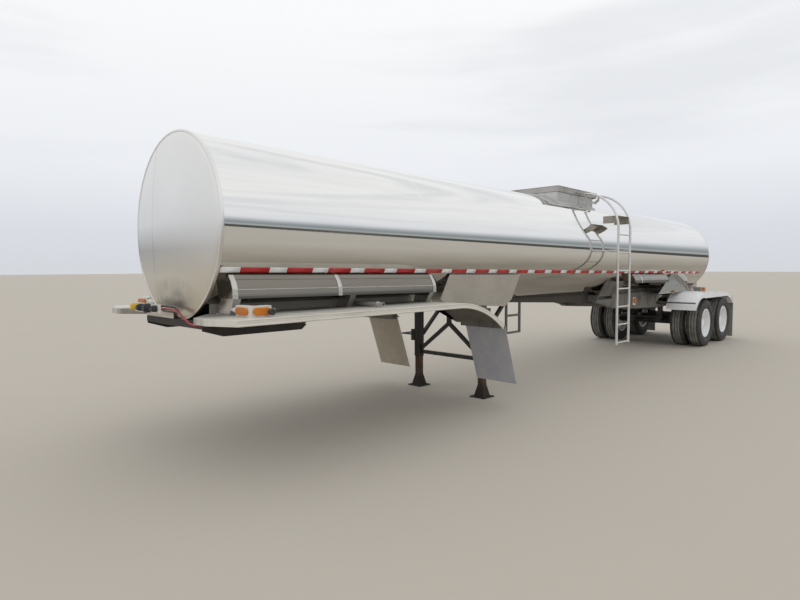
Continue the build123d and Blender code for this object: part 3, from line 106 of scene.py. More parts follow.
class NodeWork:
    """A node tree with short calls for the nodes used here."""

    def __init__(self, tree: bpy.types.NodeTree, place: str) -> None:
        """Starts on a tree.

        Args:
            tree: The node tree.
            place: The texture coordinates that its patterns read.
        """
        self.tree = tree
        self.place = tree.nodes.new("ShaderNodeTexCoord").outputs[place]

    def new(self, kind: str, **values: object) -> bpy.types.Node:
        """Adds a node.

        Args:
            kind: Its type.
            values: Values of its sockets; an underscore in a key stands for a space.

        Returns:
            The node.
        """
        node = self.tree.nodes.new(kind)
        for key, value in values.items():
            node.inputs[key.replace("_", " ")].default_value = value
        return node

    def link(self, source: Socket, target: Socket) -> None:
        """Links two sockets."""
        self.tree.links.new(source, target)

    def give(self, value: Socket | float | Sequence[float], target: Socket) -> None:
        """Links a socket to a target, or sets the target to a number or a colour.

        Args:
            value: What is given.
            target: The socket that takes it.
        """
        if isinstance(value, Socket):
            self.link(value, target)
        else:
            target.default_value = value if isinstance(value, float) else (*value, 1.0)

    def stretched(self, scale: Sequence[float]) -> Socket:
        """The tree's coordinates, scaled along each axis.

        Args:
            scale: The factor for X, Y and Z.

        Returns:
            The scaled coordinates.
        """
        mapping = self.new("ShaderNodeMapping", Scale=scale)
        self.link(self.place, mapping.inputs["Vector"])
        return mapping.outputs["Vector"]

    def noise(self, scale: float, detail: float = 3.0, at: Socket | None = None) -> Socket:
        """Noise at a scale per metre.

        Args:
            scale: How many lumps there are in a metre.
            detail: Octaves.
            at: Coordinates, or None for the tree's own.

        Returns:
            The noise from 0 to 1.
        """
        node = self.new("ShaderNodeTexNoise", Scale=scale, Detail=detail)
        self.link(at or self.place, node.inputs["Vector"])
        return node.outputs["Fac"]

    def band(
        self, value: Socket, low: float, high: float, to_low: float, to_high: float, smooth: bool = False
    ) -> Socket:
        """Maps a value from one range to another and clamps it.

        Args:
            value: The value.
            low: The value that gives to_low.
            high: The value that gives to_high.
            to_low: Result at low.
            to_high: Result at high.
            smooth: Whether the change starts and ends gently.

        Returns:
            The mapped value.
        """
        node = self.new("ShaderNodeMapRange", From_Min=low, From_Max=high, To_Min=to_low, To_Max=to_high)
        if smooth:
            node.interpolation_type = "SMOOTHSTEP"
        self.link(value, node.inputs["Value"])
        return node.outputs["Result"]

    def mix(self, amount: Socket, first: Triple | Socket, second: Triple | Socket) -> Socket:
        """Mixes two colours.

        Args:
            amount: 0 for the first colour, 1 for the second.
            first: A colour or a socket.
            second: A colour or a socket.

        Returns:
            The mixed colour.
        """
        node = self.new("ShaderNodeMix")
        node.data_type = "RGBA"
        self.link(amount, node.inputs["Factor"])
        self.give(first, node.inputs[6])
        self.give(second, node.inputs[7])
        return node.outputs[2]

    def math(self, operation: str, first: Socket | float, second: Socket | float = 0.0) -> Socket:
        """One arithmetic step.

        Args:
            operation: The Math node's operation.
            first: A socket or a number.
            second: A socket or a number.

        Returns:
            The result.
        """
        node = self.new("ShaderNodeMath")
        node.operation = operation
        self.give(first, node.inputs[0])
        self.give(second, node.inputs[1])
        return node.outputs[0]

    def part(self, vector: Socket, axis: str) -> Socket:
        """One component of a vector.

        Args:
            vector: The vector.
            axis: X, Y or Z.

        Returns:
            The component.
        """
        node = self.new("ShaderNodeSeparateXYZ")
        self.link(vector, node.inputs[0])
        return node.outputs[axis]


class NodeSheet(NodeWork):
    """A material's node tree, with its Principled shader."""

    def __init__(self, name: str) -> None:
        """Starts a material on Object coordinates.

        Args:
            name: The material's name.
        """
        self.material = bpy.data.materials.new(name)
        self.material.use_nodes = True
        super().__init__(self.material.node_tree, "Object")
        self.shader = self.tree.nodes["Principled BSDF"]

    def set(self, **values: object) -> None:
        """Sets the shader's own sockets; an underscore in a key stands for a space."""
        for key, value in values.items():
            self.shader.inputs[key.replace("_", " ")].default_value = value

    def dress(self, tint: Socket, rough: Socket | None = None) -> None:
        """Gives the shader its colour and its roughness.

        Args:
            tint: The colour.
            rough: The roughness, or None where it is one number.
        """
        self.link(tint, self.shader.inputs["Base Color"])
        if rough is not None:
            self.link(rough, self.shader.inputs["Roughness"])

    def bump(self, height: Socket, distance: float, strength: float = 1.0) -> None:
        """Bumps the surface by a height.

        Args:
            height: The height from 0 to 1.
            distance: The height of 1, in metres.
            strength: How much of it shows.
        """
        node = self.new("ShaderNodeBump", Distance=distance, Strength=strength)
        self.link(height, node.inputs["Height"])
        self.link(node.outputs["Normal"], self.shader.inputs["Normal"])


class Finish(Protocol):
    """What each finish has and can do."""

    name: str

    def build(self) -> Material:
        """Builds the material."""


@dataclass(frozen=True)
class PolishedSteel:
    """Mirror polished stainless sheet, with a slow waviness, fine scuffs along its length, and a dark
    reflection painted low on it.
    """

    name: str = "polished_steel"
    colour: Triple = (0.82, 0.82, 0.81)
    roughness: float = 0.025
    waviness: float = 0.0012
    haze: float = 0.05
    # film: the colour of the dark reflection of the shaded deck and ground, painted low on the sheet.
    film: Triple = (0.38, 0.35, 0.30)
    film_height: Pair = (1.72, 1.90)

    def build(self) -> Material:
        """Builds the material.

        Returns:
            The material.
        """
        sheet = NodeSheet(self.name)
        sheet.set(Metallic=1.0)
        long_scuffs = sheet.noise(3.0, 4.0, sheet.stretched((0.35, 6.0, 6.0)))
        haze = sheet.noise(0.9, 2.0)
        scuffed = sheet.band(long_scuffs, 0.45, 0.8, self.roughness, self.roughness + self.haze)
        rough = sheet.math("ADD", scuffed, sheet.band(haze, 0.5, 0.8, 0.0, self.haze))
        tint = sheet.mix(sheet.band(long_scuffs, 0.3, 0.9, 0.0, 1.0), self.colour, dimmed(self.colour, 0.93))
        # Painted reflection: below the given heights the sheet is tinted dark, streaked by the scuffs.
        dark_reflected = sheet.band(sheet.part(sheet.place, "Z"), *self.film_height, 0.85, 0.0)
        dark_reflected = sheet.math("MULTIPLY", dark_reflected, sheet.band(long_scuffs, 0.25, 0.65, 0.75, 1.0))
        sheet.dress(sheet.mix(dark_reflected, tint, self.film), rough)
        waves = sheet.noise(1.0, 1.0, sheet.stretched((0.5, 1.6, 1.6)))
        sheet.bump(waves, self.waviness, 0.6)
        return sheet.material


@dataclass(frozen=True)
class BrushedSteel:
    """Satin stainless sheet with fine brush lines and cloudy smears."""

    name: str
    colour: Triple = (0.62, 0.61, 0.59)
    roughness: float = 0.26
    grain: Triple = (2.0, 2.0, 60.0)

    def build(self) -> Material:
        """Builds the material.

        Returns:
            The material.
        """
        sheet = NodeSheet(self.name)
        sheet.set(Metallic=1.0)
        brush = sheet.noise(8.0, 4.0, sheet.stretched(self.grain))
        cloud = sheet.noise(2.2, 4.0)
        brushed = sheet.band(brush, 0.3, 0.7, self.roughness - 0.04, self.roughness + 0.06)
        rough = sheet.math("ADD", brushed, sheet.band(cloud, 0.35, 0.75, -0.04, 0.08))
        tint = sheet.mix(sheet.band(cloud, 0.35, 0.7, 0.0, 1.0), self.colour, dimmed(self.colour, 0.86))
        sheet.dress(tint, rough)
        sheet.bump(brush, 0.0002, 0.5)
        return sheet.material


@dataclass(frozen=True)
class SatinHead:
    """Satin stainless head: fine grain, soft clouds, painted reflections (paler above, warm below, a dark
    band across), and a smear low on its middle.
    """

    name: str = "head_steel"
    colour: Triple = (0.80, 0.79, 0.765)
    low_colour: Triple = (0.70, 0.63, 0.49)
    smear: Triple = (0.34, 0.34, 0.34)
    smear_place: Triple = (6.49, 0.02, 1.44)
    shade_height: float = 1.86
    shade_reach: float = 0.24

    def build(self) -> Material:
        """Builds the material.

        Returns:
            The material.
        """
        sheet = NodeSheet(self.name)
        sheet.set(Metallic=1.0)
        waves = sheet.noise(0.8, 1.0)
        cloud = sheet.noise(1.3, 3.0)
        height = sheet.part(sheet.place, "Z")
        # Painted reflection: a warm ground colour low on the head and a paler sky colour high on it.
        tint = sheet.mix(sheet.band(height, 1.20, 1.95, 0.0, 1.0), self.low_colour, self.colour)
        tint = sheet.mix(sheet.band(cloud, 0.3, 0.8, 0.0, 0.6), tint, dimmed(self.colour, 0.90))
        # Painted shade: a dark band of the mirrored horizon across the head, stronger towards negative Y.
        off = sheet.math("ABSOLUTE", sheet.math("SUBTRACT", height, self.shade_height))
        to_right = sheet.band(sheet.part(sheet.place, "Y"), -0.8, 0.7, 1.0, 0.25)
        shade = sheet.math("MULTIPLY", sheet.band(off, 0.0, self.shade_reach, 0.75, 0.0), to_right)
        tint = sheet.mix(shade, tint, dimmed(self.colour, 0.36))
        away = sheet.new("ShaderNodeVectorMath")
        away.operation = "DISTANCE"
        sheet.link(sheet.stretched((1.0, 0.6, 1.5)), away.inputs[0])
        x, y, z = self.smear_place
        away.inputs[1].default_value = (x, 0.6 * y, 1.5 * z)
        near = sheet.band(away.outputs["Value"], 0.05, 0.30, 0.8, 0.0)
        ragged = sheet.math("MULTIPLY", near, sheet.band(sheet.noise(7.0, 4.0), 0.35, 0.6, 0.2, 1.0))
        sheet.dress(sheet.mix(ragged, tint, self.smear), sheet.band(cloud, 0.2, 0.8, 0.25, 0.33))
        sheet.bump(waves, 0.001, 0.3)
        return sheet.material


@dataclass(frozen=True)
class WeatheredMetal:
    """Bare or painted metal with a second colour in patches, streaks and specks."""

    name: str
    colour: Triple
    worn: Triple
    metallic: float
    roughness: float
    wear: float = 0.5
    patch: float = 6.0
    dark_below: float = 0.0
    soot: Triple = (0.018, 0.017, 0.016)

    def build(self) -> Material:
        """Builds the material.

        Returns:
            The material.
        """
        sheet = NodeSheet(self.name)
        sheet.set(Metallic=self.metallic)
        patches = sheet.noise(self.patch, 6.0)
        streaks = sheet.noise(14.0, 4.0, sheet.stretched((1.0, 1.0, 0.12)))
        specks = sheet.noise(160.0, 2.0)
        patched = sheet.band(patches, 0.62 - 0.25 * self.wear, 0.75, 0.0, 0.8)
        amount = sheet.math("ADD", patched, sheet.band(streaks, 0.55, 0.8, 0.0, 0.5))
        amount = sheet.math("ADD", amount, sheet.band(specks, 0.62, 0.75, 0.0, 0.35))
        amount = sheet.math("MULTIPLY", amount, min(1.0, 2.0 * self.wear))
        tint = sheet.mix(sheet.band(amount, 0.0, 1.0, 0.0, 1.0), self.colour, self.worn)
        # Darker towards the bottom: below dark_below the colour turns near black.
        if self.dark_below > 0:
            height = sheet.part(sheet.place, "Z")
            soot = sheet.band(height, self.dark_below - 0.05, self.dark_below + 0.05, 0.85, 0.0)
            tint = sheet.mix(soot, tint, self.soot)
        sheet.dress(tint, sheet.band(amount, 0.0, 1.0, self.roughness, min(0.95, self.roughness + 0.25)))
        sheet.bump(specks, 0.0004, 0.35)
        return sheet.material


@dataclass(frozen=True)
class DeckSheet:
    """Dull deck sheet: pale along its outer edge, darker beside and under the tank, partly soiling and partly
    painted shade of the tank.
    """

    name: str = "deck_sheet"
    colour: Triple = (0.74, 0.71, 0.64)
    worn: Triple = (0.55, 0.52, 0.46)
    # soiled: the darker colour beside and under the tank, partly soiling and partly painted shade of the tank
    # over the deck.
    soiled: Triple = (0.22, 0.205, 0.18)
    clean_from: Pair = (0.72, 1.02)

    def build(self) -> Material:
        """Builds the material.

        Returns:
            The material.
        """
        sheet = NodeSheet(self.name)
        sheet.set(Metallic=0.2)
        patches = sheet.noise(2.5, 6.0)
        streaks = sheet.noise(5.0, 4.0, sheet.stretched((0.3, 3.0, 1.0)))
        specks = sheet.noise(160.0, 2.0)
        tint = sheet.mix(sheet.band(patches, 0.48, 0.75, 0.0, 0.8), self.colour, self.worn)
        out = sheet.math("ABSOLUTE", sheet.part(sheet.place, "Y"))
        out = sheet.math("ADD", out, sheet.band(streaks, 0.3, 0.7, -0.08, 0.08))
        # Painted shade and soiling: darker towards the tank, clean and lit towards the outer edge.
        tint = sheet.mix(sheet.band(out, *self.clean_from, 0.9, 0.0), tint, self.soiled)
        sheet.dress(tint, sheet.band(patches, 0.4, 0.7, 0.42, 0.6))
        sheet.bump(specks, 0.0004, 0.35)
        return sheet.material


@dataclass(frozen=True)
class DustyRubber:
    """Rubber with dust in cloudy patches and fine grain."""

    name: str
    colour: Triple
    dust: Triple = (0.30, 0.28, 0.25)
    amount: float = 0.5
    roughness: float = 0.75

    def build(self) -> Material:
        """Builds the material.

        Returns:
            The material.
        """
        sheet = NodeSheet(self.name)
        clouds = sheet.noise(9.0, 6.0)
        grain = sheet.noise(260.0, 2.0)
        tint = sheet.mix(sheet.band(clouds, 0.35, 0.8, 0.0, self.amount), self.colour, self.dust)
        sheet.dress(tint, sheet.band(clouds, 0.3, 0.8, self.roughness - 0.1, self.roughness + 0.1))
        sheet.bump(grain, 0.0005, 0.4)
        return sheet.material


@dataclass(frozen=True)
class MouldedPlastic:
    """Moulded plastic or glossy paint with a faint orange peel."""

    name: str
    colour: Triple
    roughness: float = 0.35
    soiled: Triple = (0.35, 0.33, 0.30)
    dirt: float = 0.25

    def build(self) -> Material:
        """Builds the material.

        Returns:
            The material.
        """
        sheet = NodeSheet(self.name)
        clouds = sheet.noise(12.0, 5.0)
        tint = sheet.mix(sheet.band(clouds, 0.45, 0.8, 0.0, self.dirt), self.colour, self.soiled)
        sheet.dress(tint, sheet.band(clouds, 0.4, 0.8, self.roughness, self.roughness + 0.2))
        sheet.bump(sheet.noise(220.0, 2.0), 0.0002, 0.3)
        return sheet.material


@dataclass(frozen=True)
class LampLens:
    """Ribbed lamp lens in its own colour."""

    name: str
    colour: Triple
    ribs: float = 90.0

    def build(self) -> Material:
        """Builds the material.

        Returns:
            The material.
        """
        sheet = NodeSheet(self.name)
        sheet.set(Roughness=0.12, IOR=1.49)
        wave = sheet.new("ShaderNodeTexWave", Scale=self.ribs)
        sheet.link(sheet.place, wave.inputs["Vector"])
        sheet.dress(sheet.mix(wave.outputs["Fac"], self.colour, dimmed(self.colour, 0.6)))
        sheet.bump(wave.outputs["Fac"], 0.0012, 0.6)
        return sheet.material


@dataclass(frozen=True)
class MarkingStrip:
    """Reflective marking strip with its fine cell pattern."""

    name: str
    colour: Triple
    grime: Triple = (0.42, 0.38, 0.34)
    cells: float = 180.0

    def build(self) -> Material:
        """Builds the material.

        Returns:
            The material.
        """
        sheet = NodeSheet(self.name)
        cells = sheet.new("ShaderNodeTexVoronoi", Scale=self.cells)
        sheet.link(sheet.place, cells.inputs["Vector"])
        grime = sheet.noise(5.0, 5.0)
        walls = sheet.band(cells.outputs["Distance"], 0.0, 0.6, 0.0, 0.15)
        tint = sheet.mix(walls, self.colour, dimmed(self.colour, 0.7))
        sheet.dress(sheet.mix(sheet.band(grime, 0.60, 0.85, 0.0, 0.25), tint, self.grime))
        sheet.set(Roughness=0.35)
        sheet.bump(cells.outputs["Distance"], 0.0002, 0.4)
        return sheet.material


FINISHES: dict[str, Finish] = {
    finish.name: finish
    for finish in (
        PolishedSteel(),
        # The skirts' dark colour and dark film are painted shade: they stand for the shaded ground that the
        # skirts mirror.
        PolishedSteel("skirt_steel", (0.29, 0.27, 0.24), 0.08, 0.003, 0.14, (0.19, 0.175, 0.15)),
        WeatheredMetal("strap_steel", (0.60, 0.59, 0.56), (0.40, 0.38, 0.34), 0.7, 0.4, 0.4, 6.0),
        SatinHead(),
        WeatheredMetal("box_steel", (0.58, 0.575, 0.555), (0.36, 0.345, 0.31), 0.8, 0.32, 0.5, 5.0),
        DeckSheet(),
        WeatheredMetal("lid_steel", (0.46, 0.445, 0.42), (0.32, 0.30, 0.27), 0.8, 0.34, 0.5, 4.0),
        WeatheredMetal("step_sheet", (0.40, 0.37, 0.31), (0.24, 0.21, 0.17), 0.5, 0.5, 0.5, 7.0),
        BrushedSteel("satin_steel"),
        WeatheredMetal("bare_steel", (0.30, 0.28, 0.26), (0.12, 0.08, 0.06), 1.0, 0.45),
        WeatheredMetal("aluminium", (0.72, 0.72, 0.70), (0.50, 0.48, 0.44), 0.7, 0.36, 0.3, 3.0),
        WeatheredMetal("deck_aluminium", (0.74, 0.71, 0.64), (0.54, 0.51, 0.45), 0.2, 0.5, 0.4, 2.0),
        WeatheredMetal("fender_aluminium", (0.93, 0.94, 0.95), (0.76, 0.76, 0.74), 0.1, 0.36, 0.25, 3.0),
        WeatheredMetal("black_steel", (0.022, 0.021, 0.020), (0.09, 0.065, 0.05), 0.1, 0.55, 0.5, 5.0),
        WeatheredMetal("frame_steel", (0.18, 0.17, 0.155), (0.08, 0.072, 0.064), 0.3, 0.6, 0.6, 4.0),
        WeatheredMetal("rusty_steel", (0.060, 0.042, 0.034), (0.19, 0.080, 0.042), 0.1, 0.85, 0.7, 6.0, 0.17),
        MouldedPlastic("white_paint", (0.74, 0.72, 0.66), 0.35),
        MouldedPlastic("wheel_white", (0.94, 0.945, 0.95), 0.34, (0.60, 0.58, 0.54), 0.12),
        MouldedPlastic("dark_plastic", (0.03, 0.03, 0.035), 0.5, (0.14, 0.13, 0.12)),
        MouldedPlastic("yellow_plastic", (0.72, 0.50, 0.05), 0.45, (0.30, 0.24, 0.12)),
        MouldedPlastic("hose_rubber", (0.42, 0.02, 0.035), 0.4, (0.14, 0.08, 0.07)),
        MouldedPlastic("black_hose", (0.025, 0.025, 0.03), 0.4, (0.10, 0.09, 0.08)),
        LampLens("amber_lens", (0.82, 0.25, 0.015)),
        LampLens("red_lens", (0.42, 0.05, 0.04)),
        DustyRubber("front_flap", (0.40, 0.41, 0.46), (0.54, 0.52, 0.48), 0.7, 0.5),
        DustyRubber("tan_flap", (0.40, 0.35, 0.27), (0.52, 0.48, 0.40), 0.6, 0.6),
        DustyRubber("flap_rubber", (0.23, 0.24, 0.22), (0.36, 0.35, 0.31), 0.6),
        DustyRubber("tyre", (0.030, 0.030, 0.031), (0.16, 0.15, 0.135), 0.5),
        DustyRubber("tyre_tread", (0.155, 0.148, 0.135), (0.32, 0.305, 0.275), 0.85, 0.85),
        WeatheredMetal("rail_steel", (0.06, 0.054, 0.047), (0.10, 0.09, 0.078), 0.2, 0.7, 0.5, 4.0),
        WeatheredMetal("deck_under", (0.15, 0.135, 0.115), (0.07, 0.06, 0.05), 0.1, 0.7, 0.5, 5.0),
    )
}


class FinishShelf:
    """Builds each finish once and hands it out."""

    def __init__(self) -> None:
        """Starts empty."""
        self.built: dict[str, Material] = {}

    def get(self, slot: str) -> Material:
        """The material of a slot.

        Args:
            slot: A key of FINISHES.

        Returns:
            The built material.
        """
        if slot not in self.built:
            self.built[slot] = FINISHES[slot].build()
        return self.built[slot]

    def keep(self, name: str, finish: Finish) -> Material:
        """Builds a finish that is no slot's own, once.

        Args:
            name: The name it is kept under.
            finish: The finish.

        Returns:
            The built material.
        """
        if name not in self.built:
            self.built[name] = finish.build()
        return self.built[name]


shelf = FinishShelf()
slot_of: dict[str, str] = {s["node"]: s["material_slot"] for s in frame["record"]["subparts"]}


def new_piece(name: str, mesh: Mesh) -> Piece:
    """Puts a mesh into the scene as an object at the origin.

    Args:
        name: The piece's name.
        mesh: Its mesh.

    Returns:
        The object.
    """
    made = bpy.data.objects.new(name, mesh)
    bpy.context.scene.collection.objects.link(made)
    return made


@contextmanager
def editing(mesh: Mesh) -> Iterator[bmesh.types.BMesh]:
    """Lends a mesh for editing, and writes it back.

    Args:
        mesh: The mesh.

    Returns:
        Its editable copy.
    """
    work = bmesh.new()
    work.from_mesh(mesh)
    yield work
    work.to_mesh(mesh)
    work.free()


def to_object(
    name: str, verts: Sequence[Sequence[float]], faces: Sequence[Sequence[int]], smooth: bool = True
) -> Piece:
    """Makes a linked mesh object at the origin.

    Args:
        name: The piece's name.
        verts: Corners in metres.
        faces: Corner numbers of each face.
        smooth: Whether faces are shaded smooth.

    Returns:
        The object.
    """
    mesh = bpy.data.meshes.new(name)
    mesh.from_pydata([tuple(v) for v in verts], [], [tuple(f) for f in faces])
    mesh.update()
    if smooth:
        mesh.shade_smooth()
    return new_piece(name, mesh)


def tidy_normals(piece: Piece, gap: float = 1e-5) -> None:
    """Merges doubles and turns all faces outward.

    Args:
        piece: A mesh object.
        gap: Corners nearer than this are merged.
    """
    with editing(piece.data) as work:
        bmesh.ops.remove_doubles(work, verts=work.verts, dist=gap)
        bmesh.ops.recalc_face_normals(work, faces=work.faces)


def lathe(
    name: str, profile: Sequence[Pair], centre: Vector, axis: Vector, steps: int, closed: bool = True
) -> Piece:
    """Turns a profile round an axis.

    Args:
        name: The piece's name.
        profile: Points as distance along the axis and radius.
        centre: A point on the axis.
        axis: The axis's direction.
        steps: How many steps round.
        closed: Whether the profile's end joins its start.

    Returns:
        The turned object.
    """
    along = axis.normalized()
    across = along.orthogonal().normalized()
    third = along.cross(across)
    verts: list[Vector] = []
    faces: list[tuple[int, ...]] = []
    count = len(profile)
    for step in range(steps):
        turn = 2 * math.pi * step / steps
        spoke = across * math.cos(turn) + third * math.sin(turn)
        verts.extend(centre + along * distance + spoke * radius for distance, radius in profile)
    last = count if closed else count - 1
    for step in range(steps):
        here = step * count
        there = ((step + 1) % steps) * count
        for number in range(last):
            after = (number + 1) % count
            faces.append((here + number, here + after, there + after, there + number))
    made = to_object(name, verts, faces)
    tidy_normals(made)
    return made


def by_angle(piece: Piece, degrees: float = SHARP_EDGE) -> None:
    """Keeps edges sharper than an angle sharp, and shades the rest smooth.

    Args:
        piece: A mesh object.
        degrees: The angle.
    """
    piece.data.shade_smooth()
    limit = math.radians(degrees)
    with editing(piece.data) as work:
        for edge in work.edges:
            edge.smooth = len(edge.link_faces) == 2 and edge.calc_face_angle(0.0) < limit


def joined(name: str, pieces: Sequence[Piece]) -> Piece:
    """Joins mesh objects that share a place into one.

    Args:
        name: The result's name.
        pieces: Objects at the origin.

    Returns:
        The joined object.
    """
    work = bmesh.new()
    materials: list[Material] = []
    for piece in pieces:
        start = len(work.faces)
        work.from_mesh(piece.data)
        work.faces.ensure_lookup_table()
        numbers = []
        for material in piece.data.materials:
            if material not in materials:
                materials.append(material)
            numbers.append(materials.index(material))
        for face in work.faces[start:]:
            face.material_index = numbers[face.material_index] if numbers else 0
    mesh = bpy.data.meshes.new(name)
    work.to_mesh(mesh)
    work.free()
    for material in materials:
        mesh.materials.append(material)
    for piece in pieces:
        bpy.data.objects.remove(piece)
    return new_piece(name, mesh)


def bevelled(piece: Piece, width: float, segments: int = 2) -> Piece:
    """Rounds the sharp edges of a piece with a live bevel.

    Args:
        piece: A mesh object.
        width: The bevel's width in metres.
        segments: Steps in the bevel.

    Returns:
        The same piece.
    """
    bevel = piece.modifiers.new("edges", "BEVEL")
    bevel.width = width
    bevel.segments = segments
    bevel.limit_method = "ANGLE"
    bevel.angle_limit = math.radians(BEVEL_FROM)
    bevel.harden_normals = False
    return piece


@dataclass
class CarriedNode:
    """A CAD node shown as it is: its faces merged and smoothed, its edges rounded.

    Solids below split_at along split_axis get the second finish, and faces that look down the
    finish in under.
    """

    node: str
    edge: float = 0.0015
    finish: str = ""
    second: str = ""
    split_axis: int = 1
    split_at: float = 0.0
    under: str = ""
    looks_down: float = -0.3

    def _part_finishes(self, mesh: Mesh) -> None:
        """Gives the solids below the split, along its axis, the second finish.

        Args:
            mesh: The shown mesh, which has the first finish.
        """
        mesh.materials.append(shelf.get(self.second))
        with editing(mesh) as work:
            unseen = set(work.verts)
            while unseen:
                solid = {unseen.pop()}
                front = list(solid)
                while front:
                    near = {vert for edge in front.pop().link_edges for vert in edge.verts} & unseen
                    unseen -= near
                    solid |= near
                    front += near
                if sum(vert.co[self.split_axis] for vert in solid) / len(solid) < self.split_at:
                    for face in {face for vert in solid for face in vert.link_faces}:
                        face.material_index = 1

    def dress(self) -> Piece:
        """Makes the shown piece.

        Returns:
            The piece, riding on the node's body.
        """
        source = frame["nodes"][self.node]
        slot = self.finish or slot_of[self.node]
        work = bmesh.new()
        work.from_mesh(source.data)
        bmesh.ops.remove_doubles(work, verts=work.verts, dist=NODE_MERGE)
        flat = math.radians(NODE_FLAT)
        bmesh.ops.dissolve_limit(work, angle_limit=flat, verts=work.verts, edges=work.edges)
        mesh = bpy.data.meshes.new("shown_" + self.node)
        work.to_mesh(mesh)
        work.free()
        made = new_piece("shown_" + self.node, mesh)
        by_angle(made)
        mesh.materials.append(shelf.get(slot))
        if self.second:
            self._part_finishes(mesh)
        if self.under:
            mesh.materials.append(shelf.get(self.under))
            for face in mesh.polygons:
                if face.normal.z < self.looks_down:
                    face.material_index = len(mesh.materials) - 1
        if self.edge > 0:
            bevelled(made, self.edge)
        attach(made, source["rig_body"])
        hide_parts(self.node)
        return made


class PatternTree:
    """A Geometry Nodes tree that repeats the mesh it is given, along a line or round an axis."""

    def __init__(self, name: str) -> None:
        """Builds the tree with its named inputs.

        Args:
            name: The tree's name.
        """
        self.tree = bpy.data.node_groups.new(name, "GeometryNodeTree")
        face = self.tree.interface
        face.new_socket("Geometry", in_out="INPUT", socket_type="NodeSocketGeometry")
        self.inputs: dict[str, str] = {}
        for label, kind in (
            ("Count", "NodeSocketInt"),
            ("Step", "NodeSocketVector"),
            ("Centre", "NodeSocketVector"),
            ("Axis", "NodeSocketVector"),
            ("Turn", "NodeSocketFloat"),
            ("Material", "NodeSocketMaterial"),
        ):
            self.inputs[label] = face.new_socket(label, in_out="INPUT", socket_type=kind).identifier
        face.new_socket("Geometry", in_out="OUTPUT", socket_type="NodeSocketGeometry")
        self._wire()

    def _wire(self) -> None:
        """Wires a line of points, the turned copies on them, and the finish."""
        nodes = self.tree.nodes
        link = self.tree.links.new
        given = nodes.new("NodeGroupInput")
        out = nodes.new("NodeGroupOutput")
        home = nodes.new("GeometryNodeTransform")
        back = nodes.new("ShaderNodeVectorMath")
        back.operation = "SCALE"
        back.inputs["Scale"].default_value = -1.0
        link(given.outputs["Centre"], back.inputs[0])
        link(given.outputs["Geometry"], home.inputs["Geometry"])
        link(back.outputs["Vector"], home.inputs["Translation"])
        line = nodes.new("GeometryNodeMeshLine")
        link(given.outputs["Count"], line.inputs["Count"])
        link(given.outputs["Centre"], line.inputs["Start Location"])
        link(given.outputs["Step"], line.inputs["Offset"])
        index = nodes.new("GeometryNodeInputIndex")
        turn = nodes.new("ShaderNodeMath")
        turn.operation = "MULTIPLY"
        link(index.outputs[0], turn.inputs[0])
        link(given.outputs["Turn"], turn.inputs[1])
        rotation = nodes.new("FunctionNodeAxisAngleToRotation")
        link(given.outputs["Axis"], rotation.inputs["Axis"])
        link(turn.outputs[0], rotation.inputs["Angle"])
        copies = nodes.new("GeometryNodeInstanceOnPoints")
        link(line.outputs["Mesh"], copies.inputs["Points"])
        link(home.outputs["Geometry"], copies.inputs["Instance"])
        link(rotation.outputs["Rotation"], copies.inputs["Rotation"])
        real = nodes.new("GeometryNodeRealizeInstances")
        link(copies.outputs["Instances"], real.inputs["Geometry"])
        paint = nodes.new("GeometryNodeSetMaterial")
        link(real.outputs["Geometry"], paint.inputs["Geometry"])
        link(given.outputs["Material"], paint.inputs["Material"])
        link(paint.outputs["Geometry"], out.inputs["Geometry"])

    def repeat(
        self,
        piece: Piece,
        count: int,
        material: Material,
        step: Vector = Vector((0.0, 0.0, 0.0)),
        centre: Vector = Vector((0.0, 0.0, 0.0)),
        axis: Vector = Vector((0.0, 0.0, 1.0)),
        turn: float = 0.0,
    ) -> Piece:
        """Replaces a piece by its copies, as one plain mesh.

        Args:
            piece: The first copy, in place.
            count: How many copies.
            material: The finish of all of them.
            step: The way from one copy to the next.
            centre: A point on the axis that the copies turn about.
            axis: That axis.
            turn: The angle between copies, in radians.

        Returns:
            The plain mesh object, with the piece's name.
        """
        name = piece.name
        modifier = piece.modifiers.new("pattern", "NODES")
        modifier.node_group = self.tree
        for label, value in zip(self.inputs, (count, step, centre, axis, turn, material)):
            modifier[self.inputs[label]] = value[:] if isinstance(value, Vector) else value
        shown = piece.evaluated_get(bpy.context.evaluated_depsgraph_get())
        mesh = bpy.data.meshes.new_from_object(shown)
        piece.modifiers.remove(modifier)
        bpy.data.objects.remove(piece)
        return new_piece(name, mesh)


pattern = PatternTree("repeat_in_a_row")


def bolt_head(name: str, at: Vector, out: Vector, radius: float, height: float, sides: int = 6) -> Piece:
    """A bolt or rivet head on a surface.

    Args:
        name: The piece's name.
        at: Where it sits.
        out: The way it points.
        radius: Its radius in metres.
        height: Its height in metres.
        sides: 6 for a hexagon, more for a round head.

    Returns:
        The head.
    """
    profile = [(0.0, radius), (height * 0.75, radius), (height, radius * 0.72), (height, 0.0001)]
    made = lathe(name, profile, at, out, sides, closed=False)
    by_angle(made, 40.0)
    return made


@dataclass(frozen=True)
class TankAxis:
    """The tank's sloping axis, in metres; a station is the distance behind its front rim."""

    front_x: float = 6.4425
    front_z: float = 2.068
    fall: float = 0.122
    length: float = 12.3
    radius: float = 0.838

    def ahead(self) -> Vector:
        """The axis's forward direction."""
        return Vector((self.length, 0.0, self.fall)).normalized()

    def point(self, station: float) -> Vector:
        """The point of the axis at a station."""
        return Vector((self.front_x - station, 0.0, self.front_z - self.fall * station / self.length))

    def above(self) -> Vector:
        """The direction square to the axis that points up."""
        return ACROSS.cross(self.ahead() * -1.0).normalized()

    def on_skin(self, station: float, angle: float, proud: float = 0.0) -> Vector:
        """A point on the skin.

        Args:
            station: The distance behind the front rim.
            angle: Radians up from the left side.
            proud: How far outside the skin.

        Returns:
            The point.
        """
        radius = self.radius + proud
        spoke = ACROSS * radius * math.cos(angle) + self.above() * radius * math.sin(angle)
        return self.point(station) + spoke


axis = TankAxis()


